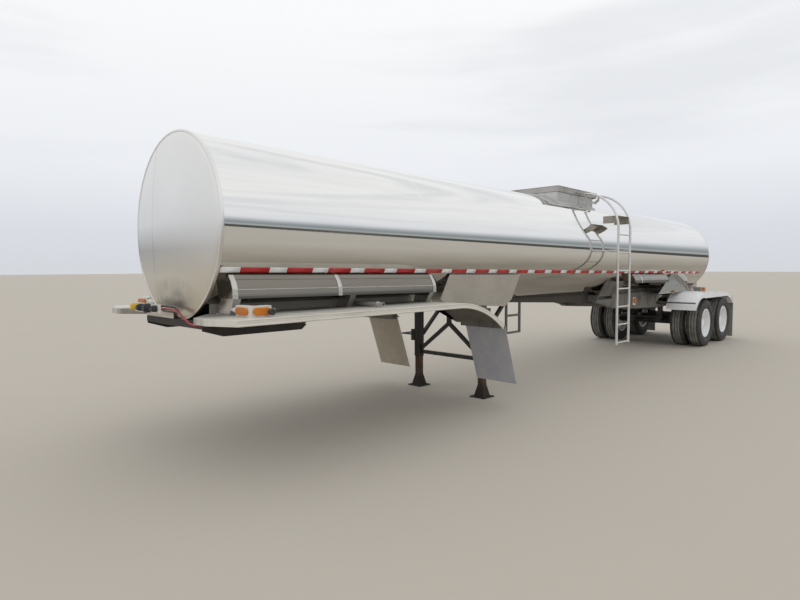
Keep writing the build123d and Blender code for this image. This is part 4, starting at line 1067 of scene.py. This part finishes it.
@dataclass
class Tank:
    """The polished barrel, its heads and lower skirts, and the marking strip."""

    steps: int = 288
    hoops: int = 24
    hem: float = 0.004
    weld: float = 0.0004
    weld_half: float = 0.004
    weld_clear: float = 0.05
    weld_gaps: tuple[float, ...] = (0.003, 0.006, 0.009, 0.014, 0.03)
    crown_rings: int = 24
    rim: float = 0.030
    rim_proud: float = 0.005
    head_step: float = 0.024
    front_crown: float = 0.070
    rear_crown: float = 0.130
    seams: tuple[float, ...] = (2.45, 4.90, 7.35, 9.80)
    head_seams: tuple[float, ...] = (-0.335,)
    head_weld: float = 0.0022
    strip_angle: float = -27.1
    strip_height: float = 0.050
    white_length: float = 0.1778
    red_length: float = 0.2794
    strip_start: float = 0.0392
    repeats: int = 26
    white: Triple = (0.90, 0.91, 0.90)
    red: Triple = (0.55, 0.035, 0.04)

    def barrel(self) -> Piece:
        """The smooth shell between the rims, with its weld lines.

        Returns:
            The shell.
        """
        start = self.rim
        end = axis.length - self.rim
        radius = axis.radius
        profile: list[Pair] = [(-start, radius - self.hem)]
        stations = [start + (end - start) * number / self.hoops for number in range(self.hoops + 1)]
        for seam in self.seams:
            stations = [station for station in stations if abs(station - seam) > self.weld_clear]
            stations += [seam + side * gap for gap in self.weld_gaps for side in (-1, 1)]
        for station in sorted(stations):
            on_weld = any(abs(station - seam) < self.weld_half for seam in self.seams)
            raised = self.weld if on_weld else 0.0
            profile.append((-station, radius + raised))
        profile.append((-end, radius - self.hem))
        made = lathe("barrel", profile, axis.point(0.0), axis.ahead(), self.steps, closed=False)
        by_angle(made, 50.0)
        made.data.materials.append(shelf.get("polished_steel"))
        return made

    def sphere(self, crown: float) -> Pair:
        """The edge radius of a head, and the radius of the sphere that it is part of.

        Args:
            crown: How far the head's middle stands out.

        Returns:
            Both radii.
        """
        edge = axis.radius - self.head_step
        return edge, (edge**2 + crown**2) / (2 * crown)

    def head(self, name: str, station: float, out: Vector, crown: float, finish: Material) -> Piece:
        """One dished head with its rim.

        Args:
            name: The piece's name.
            station: Where the rim's outer face lies.
            out: The way the head faces.
            crown: How far its middle stands out.
            finish: Its material.

        Returns:
            The head.
        """
        edge, sphere = self.sphere(crown)
        outer = axis.radius + self.rim_proud
        profile = [
            (-self.rim, 0.02),
            (-self.rim, outer - 0.003),
            (-self.rim + 0.003, outer),
            (-0.006, outer),
            (-0.002, outer - 0.002),
            (0.0, outer - 0.006),
            (0.0, edge + 0.010),
            (-0.003, edge + 0.004),
            (-0.001, edge),
        ]
        for number in range(1, self.crown_rings + 1):
            radius = edge * (1 - number / self.crown_rings)
            profile.append((math.sqrt(sphere**2 - radius**2) - sphere + crown, max(radius, 0.0005)))
        made = lathe(name, profile, axis.point(station), out, self.steps // 2, closed=False)
        by_angle(made, 30.0)
        made.data.materials.append(finish)
        return made

    def head_seam(self, y: float) -> Piece:
        """An upright weld line on the front head.

        Args:
            y: Where it stands.

        Returns:
            The line.
        """
        edge, sphere = self.sphere(self.front_crown)
        reach = math.sqrt(edge**2 - y**2) - 0.004
        path = []
        for number in range(49):
            rise = reach * (2 * number / 48 - 1)
            out = math.sqrt(sphere**2 - rise**2 - y**2) - sphere + self.front_crown
            path.append(axis.point(0.0) + axis.ahead() * out + axis.above() * rise + Vector((0, y, 0)))
        line = bead("head_seam", path, ACROSS, self.head_weld, 4, True)
        line.data.materials.append(shelf.get("head_steel"))
        return line

    def strip(self, side: Side, colour: Band) -> Piece:
        """All marks of one colour along one side.

        Args:
            side: The side of the tank.
            colour: The colour.

        Returns:
            The marks as one piece.
        """
        if colour is Band.WHITE:
            start, length, tint = self.strip_start, self.white_length, self.white
        else:
            start, length, tint = self.strip_start + self.white_length, self.red_length, self.red
        middle = math.radians(self.strip_angle)
        half = self.strip_height / 2 / axis.radius
        rows = [middle + half * step for step in (-1.0, -0.5, 0.0, 0.5, 1.0)]
        verts = [axis.on_skin(station, row, 0.0009) for station in (start, start + length) for row in rows]
        for vert in verts:
            vert.y *= side.value
        faces = [(number, number + 1, number + 6, number + 5) for number in range(4)]
        made = to_object(f"strip_{colour.value}_{side.name.lower()}", verts, faces)
        name = "strip_" + colour.value
        step = axis.ahead() * -(self.white_length + self.red_length)
        made = pattern.repeat(made, self.repeats, shelf.keep(name, MarkingStrip(name, tint)), step)
        with editing(made.data) as work:
            for face in work.faces:
                if face.normal.y * side.value < 0:
                    face.normal_flip()
        thick = made.modifiers.new("film", "SOLIDIFY")
        thick.thickness = 0.0006
        thick.offset = -1.0
        return made

    def build(self) -> list[Piece]:
        """Builds the tank's pieces.

        Returns:
            The pieces.
        """
        barrel = self.barrel()
        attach(barrel, "trailer")
        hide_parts("tank_barrel")
        head_finish = shelf.get("head_steel")
        front = self.head("front_head", 0.0, axis.ahead(), self.front_crown, head_finish)
        rear = self.head("rear_head", axis.length, axis.ahead() * -1.0, self.rear_crown, head_finish)
        seams = [self.head_seam(y) for y in self.head_seams]
        heads = joined("heads", [front, rear, *seams])
        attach(heads, "trailer")
        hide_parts("tank_heads")
        pieces = [barrel, heads]
        for side in Side:
            for colour in Band:
                mark = self.strip(side, colour)
                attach(mark, "trailer")
                pieces.append(mark)
        pieces.append(CarriedNode("tank_skirts", 0.003, "skirt_steel").dress())
        return pieces


def axle_place(corner: str) -> Pair:
    """Where a corner's tyres stand, as the X of their axle and the sign of their side."""
    low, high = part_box("tyres_" + corner)
    return (low.x + high.x) / 2, math.copysign(1.0, low.y + high.y)


@dataclass
class TwinWheels:
    """A pair of tyres on one hub, with ribbed treads."""

    corner: str
    height: float = 0.5
    rim: float = 0.2863
    tread: float = 0.2135
    centres: Pair = (0.735, 1.065)
    grooves: tuple[float, ...] = (-0.078, -0.027, 0.027, 0.078)
    groove_half: float = 0.0055
    groove_depth: float = 0.013
    groove_slant: float = 0.001
    tread_from: float = 0.2105
    steps: int = 120
    wall: tuple[Pair, ...] = (
        (0.106, 0.000), (0.106, 0.012), (0.112, 0.024), (0.121, 0.036), (0.130, 0.060),
        (0.1375, 0.080), (0.1415, 0.103), (0.1405, 0.128), (0.1370, 0.150), (0.1335, 0.163),
        (0.1340, 0.168), (0.1300, 0.180), (0.1255, 0.195), (0.1200, 0.204), (0.1120, 0.2095),
    )

    def outline(self) -> list[Pair]:
        """The tyre's section.

        Returns:
            Its points, as offsets across and radii.
        """
        points = [(offset, self.rim + rise) for offset, rise in self.wall]
        crown: list[Pair] = []
        for groove in sorted(self.grooves, reverse=True):
            top = self.rim + self.tread - 0.004 * (groove / 0.11) ** 2
            crown += [
                (groove + self.groove_half + self.groove_slant, top),
                (groove + self.groove_half - self.groove_slant, top - self.groove_depth),
                (groove - self.groove_half + self.groove_slant, top - self.groove_depth),
                (groove - self.groove_half - self.groove_slant, top),
            ]
        mirrored = [(-offset, radius) for offset, radius in reversed(points)]
        return points + crown + mirrored

    def build(self) -> list[Piece]:
        """Builds both tyres, and carries over the rims.

        Returns:
            The pieces.
        """
        centre_x, sign = axle_place(self.corner)
        tyres = []
        for centre in self.centres:
            at = Vector((centre_x, sign * centre, self.height))
            tyre = lathe("tyre", self.outline(), at, ACROSS, self.steps)
            by_angle(tyre, 28.0)
            tyre.data.materials.append(shelf.get("tyre"))
            tyre.data.materials.append(shelf.get("tyre_tread"))
            for face in tyre.data.polygons:
                if math.hypot(face.center.x - at.x, face.center.z - at.z) > self.rim + self.tread_from:
                    face.material_index = 1
            tyres.append(tyre)
        pair = joined("twin_tyres_" + self.corner, tyres)
        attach(pair, "wheels_" + self.corner)
        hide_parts("tyres_" + self.corner)
        rims = CarriedNode("rims_" + self.corner).dress()
        return [pair, rims]


def arc_down(crest: Pair, edge: Pair, steps: int) -> list[Pair]:
    """Points of the arc that leaves a crest level and ends at an edge, as (station, height).

    Args:
        crest: Where the arc starts.
        edge: Where it ends.
        steps: How many steps it has.

    Returns:
        The points, from the crest to the edge.
    """
    run = edge[0] - crest[0]
    fall = crest[1] - edge[1]
    radius = (run**2 + fall**2) / (2 * fall)
    whole = math.atan2(abs(run), radius - fall)
    turns = [whole * number / steps for number in range(steps + 1)]
    return [
        (crest[0] + math.copysign(radius * math.sin(turn), run), crest[1] - radius * (1 - math.cos(turn)))
        for turn in turns
    ]


def bead(
    name: str, path: Sequence[Vector], across: Vector, radius: float, rounds: int = 6, whole: bool = False
) -> Piece:
    """A raised half-round bead, or a whole round rod, along a path.

    Args:
        name: The piece's name.
        path: Its middle points.
        across: The direction along the surface and square to the path.
        radius: Its radius.
        rounds: Steps round the half circle.
        whole: Whether it is round all over.

    Returns:
        The bead, closed at its ends.
    """
    verts: list[Vector] = []
    sweep = 2 * math.pi if whole else math.pi
    count = 2 * rounds if whole else rounds + 1
    for number, point in enumerate(path):
        before = path[max(0, number - 1)]
        after = path[min(len(path) - 1, number + 1)]
        out = (after - before).normalized().cross(across)
        for step in range(count):
            turn = sweep * step / (count if whole else count - 1)
            verts.append(point + across * radius * math.cos(turn) + out * radius * math.sin(turn))
    faces = []
    for number in range(len(path) - 1):
        here, there = number * count, (number + 1) * count
        for step in range(count):
            after = (step + 1) % count
            faces.append((here + step, here + after, there + after, there + step))
    faces.append(tuple(range(count)))
    faces.append(tuple(range((len(path) - 1) * count, len(path) * count)))
    made = to_object(name, verts, faces)
    tidy_normals(made)
    by_angle(made, 50.0)
    return made


def carried(piece: Piece, slot: str, body: str = "trailer") -> Piece:
    """Finishes a piece of trim and lets it ride on a body.

    Args:
        piece: The piece; it keeps a finish it already has.
        slot: The finish and the record's slot.
        body: The body it rides on.

    Returns:
        The piece.
    """
    if not piece.data.materials:
        piece.data.materials.append(shelf.get(slot))
    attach(piece, body)
    return piece


@dataclass
class SkirtStraps:
    """Pale straps over the lower skirts, each with a bolt at its foot, and the skirts' fold lines: a dark one
    that is painted shade and a pale one that is a painted highlight.
    """

    tape_y: float = 0.7459
    tape_drop: float = 0.4220
    width: float = 0.046
    thickness: float = 0.0065
    shares: tuple[Pair, ...] = ((0.0, 0.0), (0.044, 0.3), (0.069, 0.6), (0.074, 1.0))
    fronts: tuple[float, ...] = (0.106, 1.196, 2.548)
    rears: tuple[float, ...] = (8.406,)
    front_depth: float = 0.195
    rear_depth: float = 0.158
    # The dark fold line is painted shade and the pale one a painted highlight.
    creases: tuple[tuple[float, float, str], ...] = (
        (0.20, 0.0030, "frame_steel"),
        (0.62, 0.0040, "strap_steel"),
    )
    spans: tuple[Pair, ...] = ((0.108, 2.581), (8.119, 9.791))
    bite: float = 0.004
    bolt_radius: float = 0.010
    bolt_height: float = 0.008

    def crease(self, share: float, radius: float, slot: str, side: Side) -> list[Piece]:
        """A fold line along the front and the rear skirt.

        Args:
            share: How far down the skirt it runs, as a share of the skirt's depth.
            radius: Half its thickness.
            slot: Its finish: dark for the painted shade of a fold, pale for its painted highlight.
            side: The side of the trailer.

        Returns:
            The two lines.
        """
        facets = zip(self.shares, self.shares[1:])
        (low_out, low), (high_out, high) = next(facet for facet in facets if facet[1][1] >= share)
        out = low_out + (high_out - low_out) * (share - low) / (high - low)
        aside = Vector((0, side.value * (self.tape_y + out), 0))
        lines = []
        for (first, last), depth in zip(self.spans, (self.front_depth, self.rear_depth)):
            rise = axis.above() * (-self.tape_drop - share * depth)
            path = [axis.point(first + (last - first) * step / 8) + rise + aside for step in range(9)]
            name = f"skirt_crease_{side.name.lower()}_{int(share * 100)}_{int(first)}"
            lines.append(carried(bead(name, path, ACROSS, radius, 4, True), slot))
        return lines

    def strap(self, station: float, depth: float, side: Side) -> list[Piece]:
        """One strap with its bolt.

        Args:
            station: Its front edge.
            depth: The skirt's depth.
            side: The side of the trailer.

        Returns:
            The strap and its bolt.
        """
        label = f"{side.name.lower()}_{int(station * 1000)}"
        lift = ACROSS * (self.thickness + self.bite)
        edge = [(out - self.bite, -self.tape_drop - share * depth) for out, share in self.shares]
        verts: list[Vector] = []
        for where in (station, station + self.width):
            for out, rise in edge:
                base = axis.point(where) + axis.above() * rise + Vector((0, self.tape_y + out, 0))
                verts += [base, base + lift]
        half = 2 * len(edge)
        faces: list[tuple[int, ...]] = []
        for number in range(len(edge) - 1):
            low, high = 2 * number, 2 * number + 2
            faces.append((low + 1, high + 1, half + high + 1, half + low + 1))
            faces.append((low, half + low, half + high, high))
            faces.append((low, high, high + 1, low + 1))
            faces.append((half + low, half + low + 1, half + high + 1, half + high))
        faces.append((0, 1, half + 1, half))
        faces.append((half - 2, 2 * half - 2, 2 * half - 1, half - 1))
        made = to_object("strap_" + label, verts, faces, False)
        for vert in made.data.vertices:
            vert.co.y *= side.value
        tidy_normals(made)
        bevelled(made, 0.0015, 2)
        out, rise = edge[-1]
        at = axis.point(station + self.width / 2) + axis.above() * (rise + 0.03)
        at.y = side.value * (at.y + self.tape_y + out + 0.009)
        way = Vector((0, side.value, 0))
        bolt = bolt_head("strap_bolt_" + label, at, way, self.bolt_radius, self.bolt_height)
        return [made, bolt]

    def build(self) -> list[Piece]:
        """Builds every strap and fold line.

        Returns:
            The pieces.
        """
        pieces = []
        for side in Side:
            for stations, depth in ((self.fronts, self.front_depth), (self.rears, self.rear_depth)):
                for station in stations:
                    pieces += [carried(piece, "strap_steel") for piece in self.strap(station, depth, side)]
            for share, radius, slot in self.creases:
                pieces += self.crease(share, radius, slot, side)
        return pieces


@dataclass
class FenderRibs:
    """Beads rolled into the tandem fenders, and the rolled edges of the fenders and the front deck."""

    front: Pair = (10.228, 0.810)
    shoulder: Pair = (10.808, 1.165)
    hip: Pair = (12.258, 1.120)
    rear: Pair = (12.878, 0.850)
    inner_y: float = 0.61
    outer_y: float = 1.212
    ribs: int = 7
    rib_radius: float = 0.007
    roll_radius: float = 0.006
    arc_steps: int = 14
    deck_top: float = 1.316
    deck_nose: float = -0.089
    deck_bend: float = 2.525
    deck_radius: float = 1.3
    deck_turn: float = 39.4
    deck_lip: float = 0.052
    deck_edge: float = 1.217
    deck_steps: int = 16

    def line(self) -> list[Pair]:
        """The fender's line from front to rear, as (station, height)."""
        rise = arc_down(self.shoulder, self.front, self.arc_steps)
        return list(reversed(rise)) + arc_down(self.hip, self.rear, self.arc_steps)

    def placed(self, line: Sequence[Pair], y: float) -> list[Vector]:
        """A line of stations and heights as points at one Y."""
        return [Vector((axis.front_x - station, y, height)) for station, height in line]

    def deck_line(self, depth: float) -> list[Pair]:
        """The deck's side line at a depth under its top.

        Args:
            depth: The depth.

        Returns:
            Points as (station, height).
        """
        radius = self.deck_radius - depth
        points = [(self.deck_nose, self.deck_top - depth)]
        for number in range(self.deck_steps + 1):
            turn = math.radians(self.deck_turn) * number / self.deck_steps
            height = self.deck_top - depth - radius * (1 - math.cos(turn))
            points.append((self.deck_bend + radius * math.sin(turn), height))
        return points

    def build(self) -> list[Piece]:
        """Builds the ribs and the rolled edges on both sides.

        Returns:
            The pieces.
        """
        finish = "fender_aluminium"
        pieces = []
        pitch = (self.outer_y - self.inner_y) / (self.ribs + 1)
        for side in Side:
            label = side.name.lower()
            first = self.placed(self.line(), side.value * (self.inner_y + pitch))
            rib = bead("fender_ribs_" + label, first, ACROSS, self.rib_radius)
            ribs = pattern.repeat(rib, self.ribs, shelf.get(finish), Vector((0, side.value * pitch, 0)))
            pieces.append(carried(ribs, finish))
            for name, y in (("outer", self.outer_y - 0.002), ("inner", self.inner_y + 0.004)):
                path = self.placed(self.line(), side.value * y)
                roll = bead(f"fender_roll_{name}_{label}", path, ACROSS, self.roll_radius, 5, True)
                pieces.append(carried(roll, finish))
            rolls = (("top", 0.005, self.roll_radius), ("low", self.deck_lip - 0.008, 0.009))
            for name, depth, radius in rolls:
                path = self.placed(self.deck_line(depth), side.value * self.deck_edge)
                roll = bead(f"deck_roll_{name}_{label}", path, ACROSS, radius, 5, True)
                pieces.append(carried(roll, "deck_aluminium"))
        return pieces


@dataclass
class TreadLugs:
    """Small blocks along the shoulders of each tyre, cut by the sipes between them."""

    count: int = 84
    centres: Pair = (0.735, 1.065)
    radius: float = 0.4985
    shoulder: float = 0.1005
    height: float = 0.5
    half_width: float = 0.0125
    section: tuple[Pair, ...] = ((-0.010, -0.010), (-0.010, 0.0010), (0.010, -0.0010), (0.0135, -0.014))
    faces: tuple[tuple[int, ...], ...] = (
        (0, 1, 2, 3), (7, 6, 5, 4), (0, 4, 5, 1), (1, 5, 6, 2), (2, 6, 7, 3), (3, 7, 4, 0),
    )

    def block(self, middle: Vector, y: float, edge: int) -> Piece:
        """One block, on top of a tyre.

        Args:
            middle: A point on the axle.
            y: The middle of the shoulder.
            edge: 1 for the shoulder with the greater Y, -1 for the other.

        Returns:
            The block.
        """
        corners = [
            middle + Vector((x, y + out * edge, self.radius + up))
            for x in (-self.half_width, self.half_width)
            for out, up in self.section
        ]
        made = to_object("lugs", corners, self.faces, False)
        tidy_normals(made)
        return made

    def build(self, corner: str) -> list[Piece]:
        """Builds the blocks of a pair of tyres.

        Args:
            corner: Which pair.

        Returns:
            One piece.
        """
        axle_x, sign = axle_place(corner)
        middle = Vector((axle_x, 0.0, self.height))
        turn = 2 * math.pi / self.count
        rings = []
        for centre in self.centres:
            for edge in (-1, 1):
                block = self.block(middle, sign * centre + edge * self.shoulder, edge)
                finish = shelf.get("tyre")
                rings.append(pattern.repeat(block, self.count, finish, centre=middle, axis=ACROSS, turn=turn))
        lugs = joined("tread_lugs_" + corner, rings)
        return [carried(lugs, "tyre", "wheels_" + corner)]


@dataclass(frozen=True)
class BoltRow:
    """A row of bolt or rivet heads from its front head to the rear, on the left side."""

    name: str
    station: float
    y: float
    z: float
    pitch: float
    count: int
    radius: float
    slot: str
    out: Triple = (0.0, 1.0, 0.0)


@dataclass
class Fastenings:
    """Rows of bolts and rivets on the deck, the cabinet, the frame rails and the gusset plates."""

    up: Triple = (0.0, 0.0, 1.0)
    sides: int = 8
    flatness: float = 0.7

    def rows(self) -> tuple[BoltRow, ...]:
        """The rows of one side.

        Returns:
            The rows.
        """
        return (
            BoltRow("deck_rivets_front", 0.10, 1.150, 1.3165, 0.30, 9, 0.008, "deck_aluminium", self.up),
            BoltRow("deck_rivets_inner", 0.10, 0.560, 1.3165, 0.30, 9, 0.008, "deck_aluminium", self.up),
            BoltRow("cabinet_rivets", 12.50, 0.411, 1.46, 0.075, 6, 0.006, "satin_steel"),
            BoltRow("rail_bolts_high", 10.75, 0.501, 1.13, 0.16, 12, 0.011, "frame_steel"),
            BoltRow("rail_bolts_low", 10.75, 0.501, 0.90, 0.16, 12, 0.011, "frame_steel"),
            BoltRow("plate_bolts_high", 10.04, 0.507, 1.12, 0.13, 5, 0.009, "frame_steel"),
            BoltRow("plate_bolts_low", 10.04, 0.507, 0.95, 0.13, 5, 0.009, "frame_steel"),
        )

    def build(self) -> list[Piece]:
        """Builds every row on both sides.

        Returns:
            The pieces.
        """
        pieces = []
        for row in self.rows():
            for side in Side:
                start = Vector((axis.front_x - row.station, side.value * row.y, row.z))
                way = Vector((row.out[0], side.value * row.out[1], row.out[2]))
                name = f"{row.name}_{side.name.lower()}"
                head = bolt_head(name, start, way, row.radius, row.radius * self.flatness, self.sides)
                heads = pattern.repeat(head, row.count, shelf.get(row.slot), Vector((-row.pitch, 0.0, 0.0)))
                pieces.append(carried(heads, row.slot))
        return pieces


@dataclass
class CouplerApron:
    """Narrow black lips down the sides of the upper coupler, turned up at the nose and raked at the rear."""

    line: tuple[Pair, ...] = (
        (-0.036, 1.203),
        (-0.036, 1.180),
        (0.150, 1.123),
        (0.955, 1.120),
        (1.015, 1.168),
        (0.085, 1.168),
    )
    outer_y: float = 0.5595
    sheet: float = 0.009

    def build(self) -> list[Piece]:
        """Builds the lip of each side.

        Returns:
            The pieces.
        """
        pieces = []
        count = len(self.line)
        for side in Side:
            verts = [
                (axis.front_x - station, side.value * y, height)
                for y in (self.outer_y, self.outer_y - self.sheet)
                for station, height in self.line
            ]
            faces = [tuple(range(count)), tuple(reversed(range(count, 2 * count)))]
            for number in range(count):
                after = (number + 1) % count
                faces.append((number, number + count, after + count, after))
            lip = to_object("coupler_lip_" + side.name.lower(), verts, faces, False)
            tidy_normals(lip)
            bevelled(lip, 0.0015, 2)
            pieces.append(carried(lip, "black_steel"))
        return pieces


@dataclass
class LampFittings:
    """The cone beside each deck lamp and the dark cable end on its other side."""

    cone_at: Triple = (0.12, 0.885, 1.362)
    cone: tuple[Pair, ...] = ((0.0, 0.030), (0.012, 0.033), (0.10, 0.014), (0.12, 0.010), (0.12, 0.0005))
    end_at: Triple = (0.25, 1.105, 1.356)
    end: tuple[Pair, ...] = (
        (0.0, 0.020),
        (0.030, 0.020),
        (0.034, 0.027),
        (0.060, 0.027),
        (0.066, 0.022),
        (0.066, 0.012),
        (0.058, 0.0005),
    )

    def build(self) -> list[Piece]:
        """Builds both fittings on both sides.

        Returns:
            The pieces.
        """
        pieces = []
        for side in Side:
            for name, profile, (station, y, z), way, slot in (
                ("lamp_cone_", self.cone, self.cone_at, -side.value, "white_paint"),
                ("lamp_cable_end_", self.end, self.end_at, side.value, "dark_plastic"),
            ):
                at = Vector((axis.front_x - station, side.value * y, z))
                made = lathe(name + side.name.lower(), profile, at, ACROSS * way, 24, False)
                by_angle(made, 40.0)
                pieces.append(carried(made, slot))
        return pieces


@dataclass
class PlainNodes:
    """The nodes that are shown as the CAD has them, each with its own edge rounding and finish."""

    looks: dict[str, dict[str, object]] = field(
        default_factory=lambda: {
            "connectors": {"edge": 0.002, "second": "yellow_plastic", "split_at": -0.46},
            "deck_pipes": {"edge": 0.001, "finish": "strap_steel"},
            "dome_box": {"finish": "box_steel"},
            "dome_lid": {"finish": "lid_steel"},
            "fender_tubes": {"finish": "frame_steel"},
            "frame_rails": {
                "finish": "rail_steel",
                "second": "frame_steel",
                "split_axis": 0,
                "split_at": -1.0,
            },
            "front_deck": {"edge": 0.005, "finish": "deck_sheet", "under": "deck_under"},
            "front_mud_flaps": {"second": "tan_flap"},
            "kingpin": {"finish": "black_steel"},
            "ladder_rails": {"edge": 0.0},
            "ladder_rungs": {"edge": 0.0},
            "ladder_step": {"finish": "step_sheet"},
            "lamp_lenses": {"edge": 0.004},
            "rear_saddles": {
                "finish": "frame_steel",
                "second": "polished_steel",
                "split_axis": 0,
                "split_at": -2.5,
            },
            "service_lines": {"edge": 0.0, "second": "black_hose", "split_at": 0.225},
            "step_frame": {"finish": "frame_steel"},
            "tail_lenses": {"edge": 0.003},
            "tandem_fenders": {"edge": 0.0012},
        }
    )

    def build(self, done: Iterable[str]) -> list[Piece]:
        """Dresses every node that no other class has taken.

        Args:
            done: Names of nodes that other pieces stand for.

        Returns:
            The pieces.
        """
        left = sorted(set(frame["nodes"]) - set(done))
        return [CarriedNode(node, **self.looks.get(node, {})).dress() for node in left]


@dataclass(frozen=True)
class FarBand:
    """A low dark band of the distance: its colour, and the rise over which it fades out."""

    colour: Triple
    fade: Pair


@dataclass
class Studio:
    """The pale floor, the overcast light and the camera."""

    camera_place: Triple = (8.6315, 4.946, 1.692)
    yaw: float = 224.468
    pitch: float = 3.214
    roll: float = -0.223
    focal_pixels: float = 564.64
    image_width: float = 800.0
    floor_colour: Triple = (0.53, 0.485, 0.415)
    sky_levels: tuple[tuple[float, Triple], ...] = (
        (0.0, (0.66, 0.68, 0.72)),
        (0.06, (0.70, 0.72, 0.77)),
        (0.16, (0.84, 0.86, 0.90)),
        (0.40, (0.95, 0.96, 0.97)),
        (0.70, (1.0, 1.0, 1.0)),
        (1.0, (0.92, 0.93, 0.95)),
    )
    cloud_colour: Triple = (0.70, 0.72, 0.76)
    cloud_stretch: Triple = (1.0, 1.0, 7.0)
    far_bands: tuple[FarBand, ...] = (
        FarBand((0.30, 0.33, 0.345), (0.080, 0.200)),
        FarBand((0.42, 0.44, 0.44), (0.056, 0.074)),
        FarBand((0.085, 0.088, 0.078), (0.028, 0.042)),
    )
    far_behind: Pair = (0.15, 0.40)
    far_left: Pair = (0.10, 0.24)
    sensor: float = 36.0
    floor_reach: float = 220.0
    floor_height: float = -0.001

    def camera(self) -> None:
        """Places the camera where the photograph was taken from."""
        yaw, pitch, roll = (math.radians(v) for v in (self.yaw, self.pitch, self.roll))
        ahead = Vector((math.cos(yaw) * math.cos(pitch), math.sin(yaw) * math.cos(pitch), -math.sin(pitch)))
        right = Vector((math.sin(yaw), -math.cos(yaw), 0.0))
        above = right.cross(ahead)
        turned_right = right * math.cos(roll) + above * math.sin(roll)
        turned_above = above * math.cos(roll) - right * math.sin(roll)
        turn = Matrix((turned_right, turned_above, -ahead)).transposed().to_4x4()
        data = bpy.data.cameras.new("camera")
        data.sensor_fit = "HORIZONTAL"
        data.sensor_width = self.sensor
        data.lens = self.focal_pixels * self.sensor / self.image_width
        data.clip_end = 500.0
        camera = bpy.data.objects.new("camera", data)
        camera.matrix_world = Matrix.Translation(self.camera_place) @ turn
        bpy.context.scene.collection.objects.link(camera)
        bpy.context.scene.camera = camera

    def floor(self) -> None:
        """Lays a plain pale floor."""
        ends = ((-1, -1), (1, -1), (1, 1), (-1, 1))
        corners = [(self.floor_reach * x, self.floor_reach * y, self.floor_height) for x, y in ends]
        made = to_object("floor", corners, [(0, 1, 2, 3)], False)
        sheet = NodeSheet("floor_finish")
        sheet.set(Roughness=0.9)
        tint = sheet.mix(sheet.noise(0.7, 3.0), self.floor_colour, dimmed(self.floor_colour, 0.97))
        sheet.dress(tint)
        made.data.materials.append(sheet.material)

    def sky(self) -> None:
        """Lights the scene with an overcast sky, with low dark bands that the tank's left side mirrors."""
        world = bpy.data.worlds.new("overcast")
        bpy.context.scene.world = world
        world.use_nodes = True
        work = NodeWork(world.node_tree, "Generated")
        height = work.part(work.place, "Z")
        ramp = work.new("ShaderNodeValToRGB")
        work.link(height, ramp.inputs["Fac"])
        elements = ramp.color_ramp.elements
        elements[0].color = (*self.sky_levels[0][1], 1.0)
        elements[1].color = (*self.sky_levels[-1][1], 1.0)
        for position, colour in self.sky_levels[1:-1]:
            elements.new(position).color = (*colour, 1.0)
        cloud = work.band(work.noise(1.6, 4.0, work.stretched(self.cloud_stretch)), 0.45, 0.7, 0.0, 1.0, True)
        overhead = work.band(height, 0.08, 0.25, 0.0, 0.5, True)
        shown = work.mix(work.math("MULTIPLY", cloud, overhead), ramp.outputs["Color"], self.cloud_colour)
        behind = work.math("MULTIPLY", work.part(work.place, "X"), -1.0)
        behind = work.band(behind, *self.far_behind, 0.0, 1.0, True)
        left = work.band(work.part(work.place, "Y"), *self.far_left, 0.0, 1.0, True)
        sector = work.math("MULTIPLY", behind, left)
        for far in self.far_bands:
            low = work.band(height, *far.fade, 1.0, 0.0, True)
            shown = work.mix(work.math("MULTIPLY", low, sector), shown, far.colour)
        background = world.node_tree.nodes["Background"]
        work.link(shown, background.inputs["Color"])
        background.inputs["Strength"].default_value = 1.0

    def build(self) -> None:
        """Sets the stage and the view."""
        self.camera()
        self.floor()
        self.sky()
        bpy.context.scene.view_settings.view_transform = "Standard"


def report(pieces: Iterable[Piece]) -> None:
    """Logs each piece with its number of faces."""
    for piece in pieces:
        log.info("%s: %d faces", piece.name, len(piece.data.polygons))


def main() -> None:
    """Builds the trailer's pieces in order and reports them."""
    Studio().build()
    taken = ["tank_barrel", "tank_heads", "tank_skirts"]
    report(Tank().build())
    for corner in ("front_left", "front_right", "rear_left", "rear_right"):
        report(TwinWheels(corner).build())
        report(TreadLugs().build(corner))
        taken += ["tyres_" + corner, "rims_" + corner]
    report(PlainNodes().build(taken))
    report(SkirtStraps().build())
    report(FenderRibs().build())
    report(Fastenings().build())
    report(CouplerApron().build())
    report(LampFittings().build())


if __name__ == "__main__":
    main()
